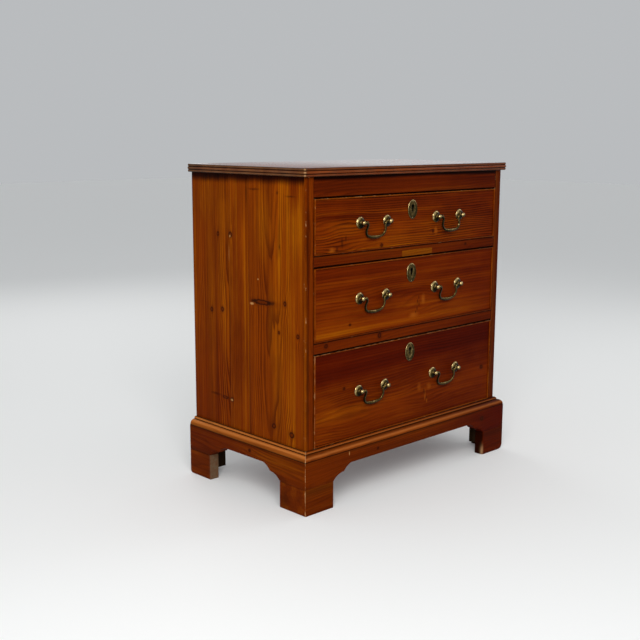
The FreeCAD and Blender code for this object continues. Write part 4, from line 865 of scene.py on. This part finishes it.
thickness = np.where(from_shoulder < 0, PIN, BAIL_THIN + (BAIL_THICK - BAIL_THIN) * np.cos(swell * np.pi / 2))
thickness = np.maximum(thickness, np.sqrt(np.maximum(SHOULDER ** 2 - from_shoulder ** 2, 0)))
thickness[0] = 0
shoulder_cuts = np.searchsorted(travel, pin_length + SHOULDER * np.cos(np.linspace(np.pi, 0, 12)))
picked = np.unique(np.concatenate([[0, 1, 200], shoulder_cuts, np.linspace(0, STEPS, 110).astype(int)]))
grip = np.clip(1 - swell * 1.2, 0, 1)
half_line = np.stack([pin_end + path_x, path_z, heading, thickness, grip])[:, picked]
other_half = half_line[:, -2::-1] * np.array((-1, 1, -1, 1, 1))[:, None]
x, z, heading, thickness, grip = np.concatenate([half_line, other_half], 1)[..., None]

# Round that line an oval section, fuller across than through, rubbed and given a painted highlight on its
# inner side and painted shade on its outer side
spin = np.linspace(0, 2 * np.pi, 20, endpoint=False)
fuller = thickness * np.where(np.abs(x) > shoulder_x, 1, 1.28 - 0.16 * grip) * np.cos(spin)
bail_x, bail_y, bail_z = (part.ravel() for part in (
    x - np.sin(heading) * fuller, thickness * np.sin(spin), z + np.cos(heading) * fuller))
bail_rub_and_light = (0.1 + 0.1 * grip - 0.26 * np.cos(spin)).ravel()
bail_faces = grid_faces(len(x), len(spin), around=True)

for drawer, level in HANDLE_LEVELS.items():
    places = [(offset + end, CASE_FRONT, level) for offset in (-HANDLE_OFFSET, HANDLE_OFFSET)
              for end in (-HALF_SPACING, HALF_SPACING)]
    points, faces = joined([turned(rose_profile, place) for place in places])
    piece(f"{drawer}_cast_roses", points, faces, aged_brass, f"{drawer}_roses", drawer, "aged_brass",
          rub=np.tile(rose_rub_and_light, len(places)))
    parts, rub = [], []
    for place in places:
        tip = turned(tip_profile, place, 16)
        nut = board(np.add(place, (-6, 20, -6)), np.add(place, (6, 24, 6)), 0.8, (6, 4, 6))
        parts += [turned(post_profile, place), tip, nut]
        rub += [post_rub_and_light, np.zeros(len(tip[0]) + len(nut[0]))]
    points, faces = joined(parts)
    piece(f"{drawer}_ball_posts", points, faces, aged_brass, f"{drawer}_posts", drawer, "aged_brass",
          rub=np.concatenate(rub))
    for side, sign in (("left", -1), ("right", 1)):
        lean = 0 if (drawer, side) == ("upper_drawer", "right") else math.radians(BAIL_LEAN)
        hung = np.stack([bail_x + sign * HANDLE_OFFSET,
                         bail_y * math.cos(lean) - bail_z * math.sin(lean) + CASE_FRONT - POST_REACH,
                         bail_y * math.sin(lean) + bail_z * math.cos(lean) + level], 1)
        piece(f"{drawer}_{side}_swan_bail", hung, bail_faces, aged_brass, f"{drawer}_{side}_bail",
              f"{drawer}_{side}_bail", "aged_brass", rub=bail_rub_and_light)


# Escutcheons and locks
# Thin stamped brass ovals with a beaded raised rim, held over each keyhole by two small round pins.
# Behind each drawer front an iron lock is let in, its bolt shooting up into the rail.
KEY_LEVELS = {"upper_drawer": 658.9, "middle_drawer": 509.1, "lower_drawer": 316.8}
OVAL = (16.5, 22.5)
# Keyhole: its round's height and radius, its slot's half width and depth, and the eye where rays start
ROUND_UP, ROUND, SLOT, SLOT_DOWN, EYE = 7.7, 3.8, 2.1, 4.5, 6.0
PIN_RISE, RIM = 19.0, 3.0
PLATE_COUNT = 180

# Rays from the eye meet the keyhole's round or slot, whichever is farther, and the oval
bearing = np.linspace(0, 2 * np.pi, PLATE_COUNT, endpoint=False)
ray = np.stack([np.cos(bearing), np.sin(bearing)], 1)
towards = ray[:, 1] * (EYE - ROUND_UP)
round_exit = -towards + np.sqrt(towards ** 2 - (EYE - ROUND_UP) ** 2 + ROUND ** 2)
wide, tall = np.maximum(np.abs(ray), 1e-9).T
slot_exit = np.minimum(SLOT / wide, np.where(ray[:, 1] > 0, ROUND_UP - EYE, EYE + SLOT_DOWN) / tall)
keyhole = np.maximum(round_exit, slot_exit)[:, None] * ray + (0, EYE)
square = ((ray / OVAL) ** 2).sum(1)
half_slope = ray[:, 1] * EYE / OVAL[1] ** 2
rest = EYE ** 2 / OVAL[1] ** 2 - 1
oval = ((-half_slope + np.sqrt(half_slope ** 2 - square * rest)) / square)[:, None] * ray + (0, EYE)
length = np.linalg.norm(oval, axis=1, keepdims=True)

# Rings of the plate from its edge in over the rim (margin, height, rub), then from the rim to the keyhole and
# down its lining (ring, share of the way, height, rub). The rim is rubbed and carries a painted highlight on
# its upper left, and the keyhole's lining is darkened nearly black as painted shade.
beads = 0.22 * np.abs(np.cos(bearing * 36))
plate_rows, plate_rub_and_light = [], []
for margin, height, bright in ((0, 0, 0.1), (0, 0.7, 0.4), (0.35, 1.15, 0.7), (1.0, 1.4, 0.9),
                               (1.7, 1.15, 0.6), (2.2, 0.75, 0), (RIM, 0.85, 0.2)):
    around = oval * (1 - margin / length)
    raised = height + (beads if 0.3 < margin < 1.8 else 0 * beads)
    plate_rows.append(np.column_stack([around[:, 0], -raised, around[:, 1]]))
    plate_rub_and_light.append(bright * (0.55 + 0.45 * np.cos(bearing - 2.3)))
inner = oval * (1 - RIM / length)
lining = keyhole - 0.15 * ray
for edge, part, height, bright in (
        (keyhole, 0.4, 1.0, 0.34), (keyhole, 0.8, 1.1, 0.3), (keyhole, 0.94, 1.1, 0.15),
        (keyhole, 1.0, 0.8, -0.4), (lining, 1.0, -8.0, -0.6), (keyhole, 1.0, -8.0, -0.6),
        (keyhole, 1.0, 0.0, -0.6)):
    around = inner + (edge - inner) * part
    plate_rows.append(np.column_stack([around[:, 0], np.full(PLATE_COUNT, -height), around[:, 1]]))
    plate_rub_and_light.append(np.full(PLATE_COUNT, bright))
plate = np.concatenate(plate_rows)
plate_faces = grid_faces(len(plate_rows) + 1, PLATE_COUNT, around=True) % len(plate)
pin_profile = [(0, 0.3), (1.2, 0.3), (1.15, 1.3), (0.8, 1.6), (0, 1.75)]
pin_rub = np.repeat([0, 0.3, 0.7, 0.9, 0.9], 14)
plate_rub_and_light = np.concatenate([*plate_rub_and_light, pin_rub, pin_rub])

# Filed iron, dull grey with thin brown rust in patches of about 11 mm, 90 to the metre
filed_iron, shader, add = blank("filed_iron")
place = add("TexCoord", out="Object")
rust = add("TexNoise", {"Vector": place, "Scale": 90, "Detail": 6, "Roughness": 0.7})
colour = add("ValToRGB", (rust,), stops=((0.38, "#4A4542"), (0.72, "#4A2C1A"), (0.55, "#6A625C")))
fill(shader, {"Base Color": colour, "Metallic": 1.0, "Roughness": 0.5})
for drawer, level in KEY_LEVELS.items():
    centre = np.array((0, CASE_FRONT, level))
    pins = [turned(pin_profile, centre + (0, 0, rise), 14) for rise in (-PIN_RISE, PIN_RISE)]
    points, faces = joined([(plate + centre, plate_faces), *pins])
    piece(f"{drawer}_oval_escutcheon", points, faces, aged_brass, f"{drawer}_escutcheon", drawer,
          "aged_brass", rub=plate_rub_and_light)
    clad(f"{drawer}_lock_case", filed_iron)
    clad(f"{drawer}_lock_bolt", filed_iron)


# Studio
# A plain pale floor, a large soft lamp in front on the left, weak ones on the right and behind,
# and a camera at the photograph's viewing angle, 2.5 m off and just above the chest's top.
FLOOR_HALF = 14
scene = bpy.context.scene
floor_mesh = bpy.data.meshes.new("studio_floor")
floor_corners = [(x * FLOOR_HALF, y * FLOOR_HALF, 0) for x, y in ((-1, -1), (1, -1), (1, 1), (-1, 1))]
floor_mesh.from_pydata(floor_corners, [], [(0, 1, 2, 3)])
studio_floor = bpy.data.objects.new("studio_floor", floor_mesh)
scene.collection.objects.link(studio_floor)
studio_floor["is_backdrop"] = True

# Matt pale paint, lifted a little where the camera sees it so that it meets the air without a line
pale_floor, shader, add = blank("pale_matt_floor")
lift = add("Math MULTIPLY", (add("LightPath", out="Is Camera Ray"), 0.095))
fill(shader, {"Base Color": linear("#EBEBE9"), "Roughness": 0.75, "Emission Color": linear("#F4F7FA"),
              "Emission Strength": lift})
floor_mesh.materials.append(pale_floor)

scene.world = bpy.data.worlds.new("studio_air")
scene.world.use_nodes = True
air = scene.world.node_tree
rays = add_node(air, "LightPath").node.outputs
shown = add_node(air, "Math MULTIPLY_ADD", (rays["Is Glossy Ray"], 0.36, 0.48))
shown = add_node(air, "Math MULTIPLY_ADD", (rays["Is Camera Ray"], 0.06, shown))
fill(air.nodes["Background"], {"Color": linear("#F4F7FA"), "Strength": shown})

LAMP_SIZE, LAMP_AIM = 1.6, Vector((0, 0, 0.4))
for name, place, power in (("soft_lamp_left", (-1.9, -1.9, 2.0), 64.0),
                           ("soft_lamp_right", (2.4, -0.6, 1.8), 10.0),
                           ("soft_lamp_behind", (0.6, 2.6, 1.9), 12.0)):
    lamp = bpy.data.lights.new(name, "AREA")
    lamp.shape = "SQUARE"
    lamp.size = LAMP_SIZE
    lamp.energy = power
    holder = bpy.data.objects.new(name, lamp)
    holder.location = place
    holder.rotation_euler = (LAMP_AIM - Vector(place)).to_track_quat("-Z", "Y").to_euler()
    scene.collection.objects.link(holder)

CAMERA_PLACE = (-1.7981, -1.7366, 0.8331)
CAMERA_YAW, CAMERA_PITCH, CAMERA_ROLL = (math.radians(angle) for angle in (44.037, -10.538, 0.2))
camera = bpy.data.objects.new("camera", bpy.data.cameras.new("camera"))
camera.data.lens = 56.41
camera.location = CAMERA_PLACE
flat = math.cos(CAMERA_PITCH)
forward = Vector((math.sin(CAMERA_YAW) * flat, math.cos(CAMERA_YAW) * flat, math.sin(CAMERA_PITCH)))
upright = forward.to_track_quat("-Z", "Y").to_matrix()
camera.rotation_euler = (upright @ Matrix.Rotation(CAMERA_ROLL, 3, "Z")).to_euler()
scene.collection.objects.link(camera)
scene.camera = camera
scene.view_settings.view_transform = "Standard"

low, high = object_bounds()
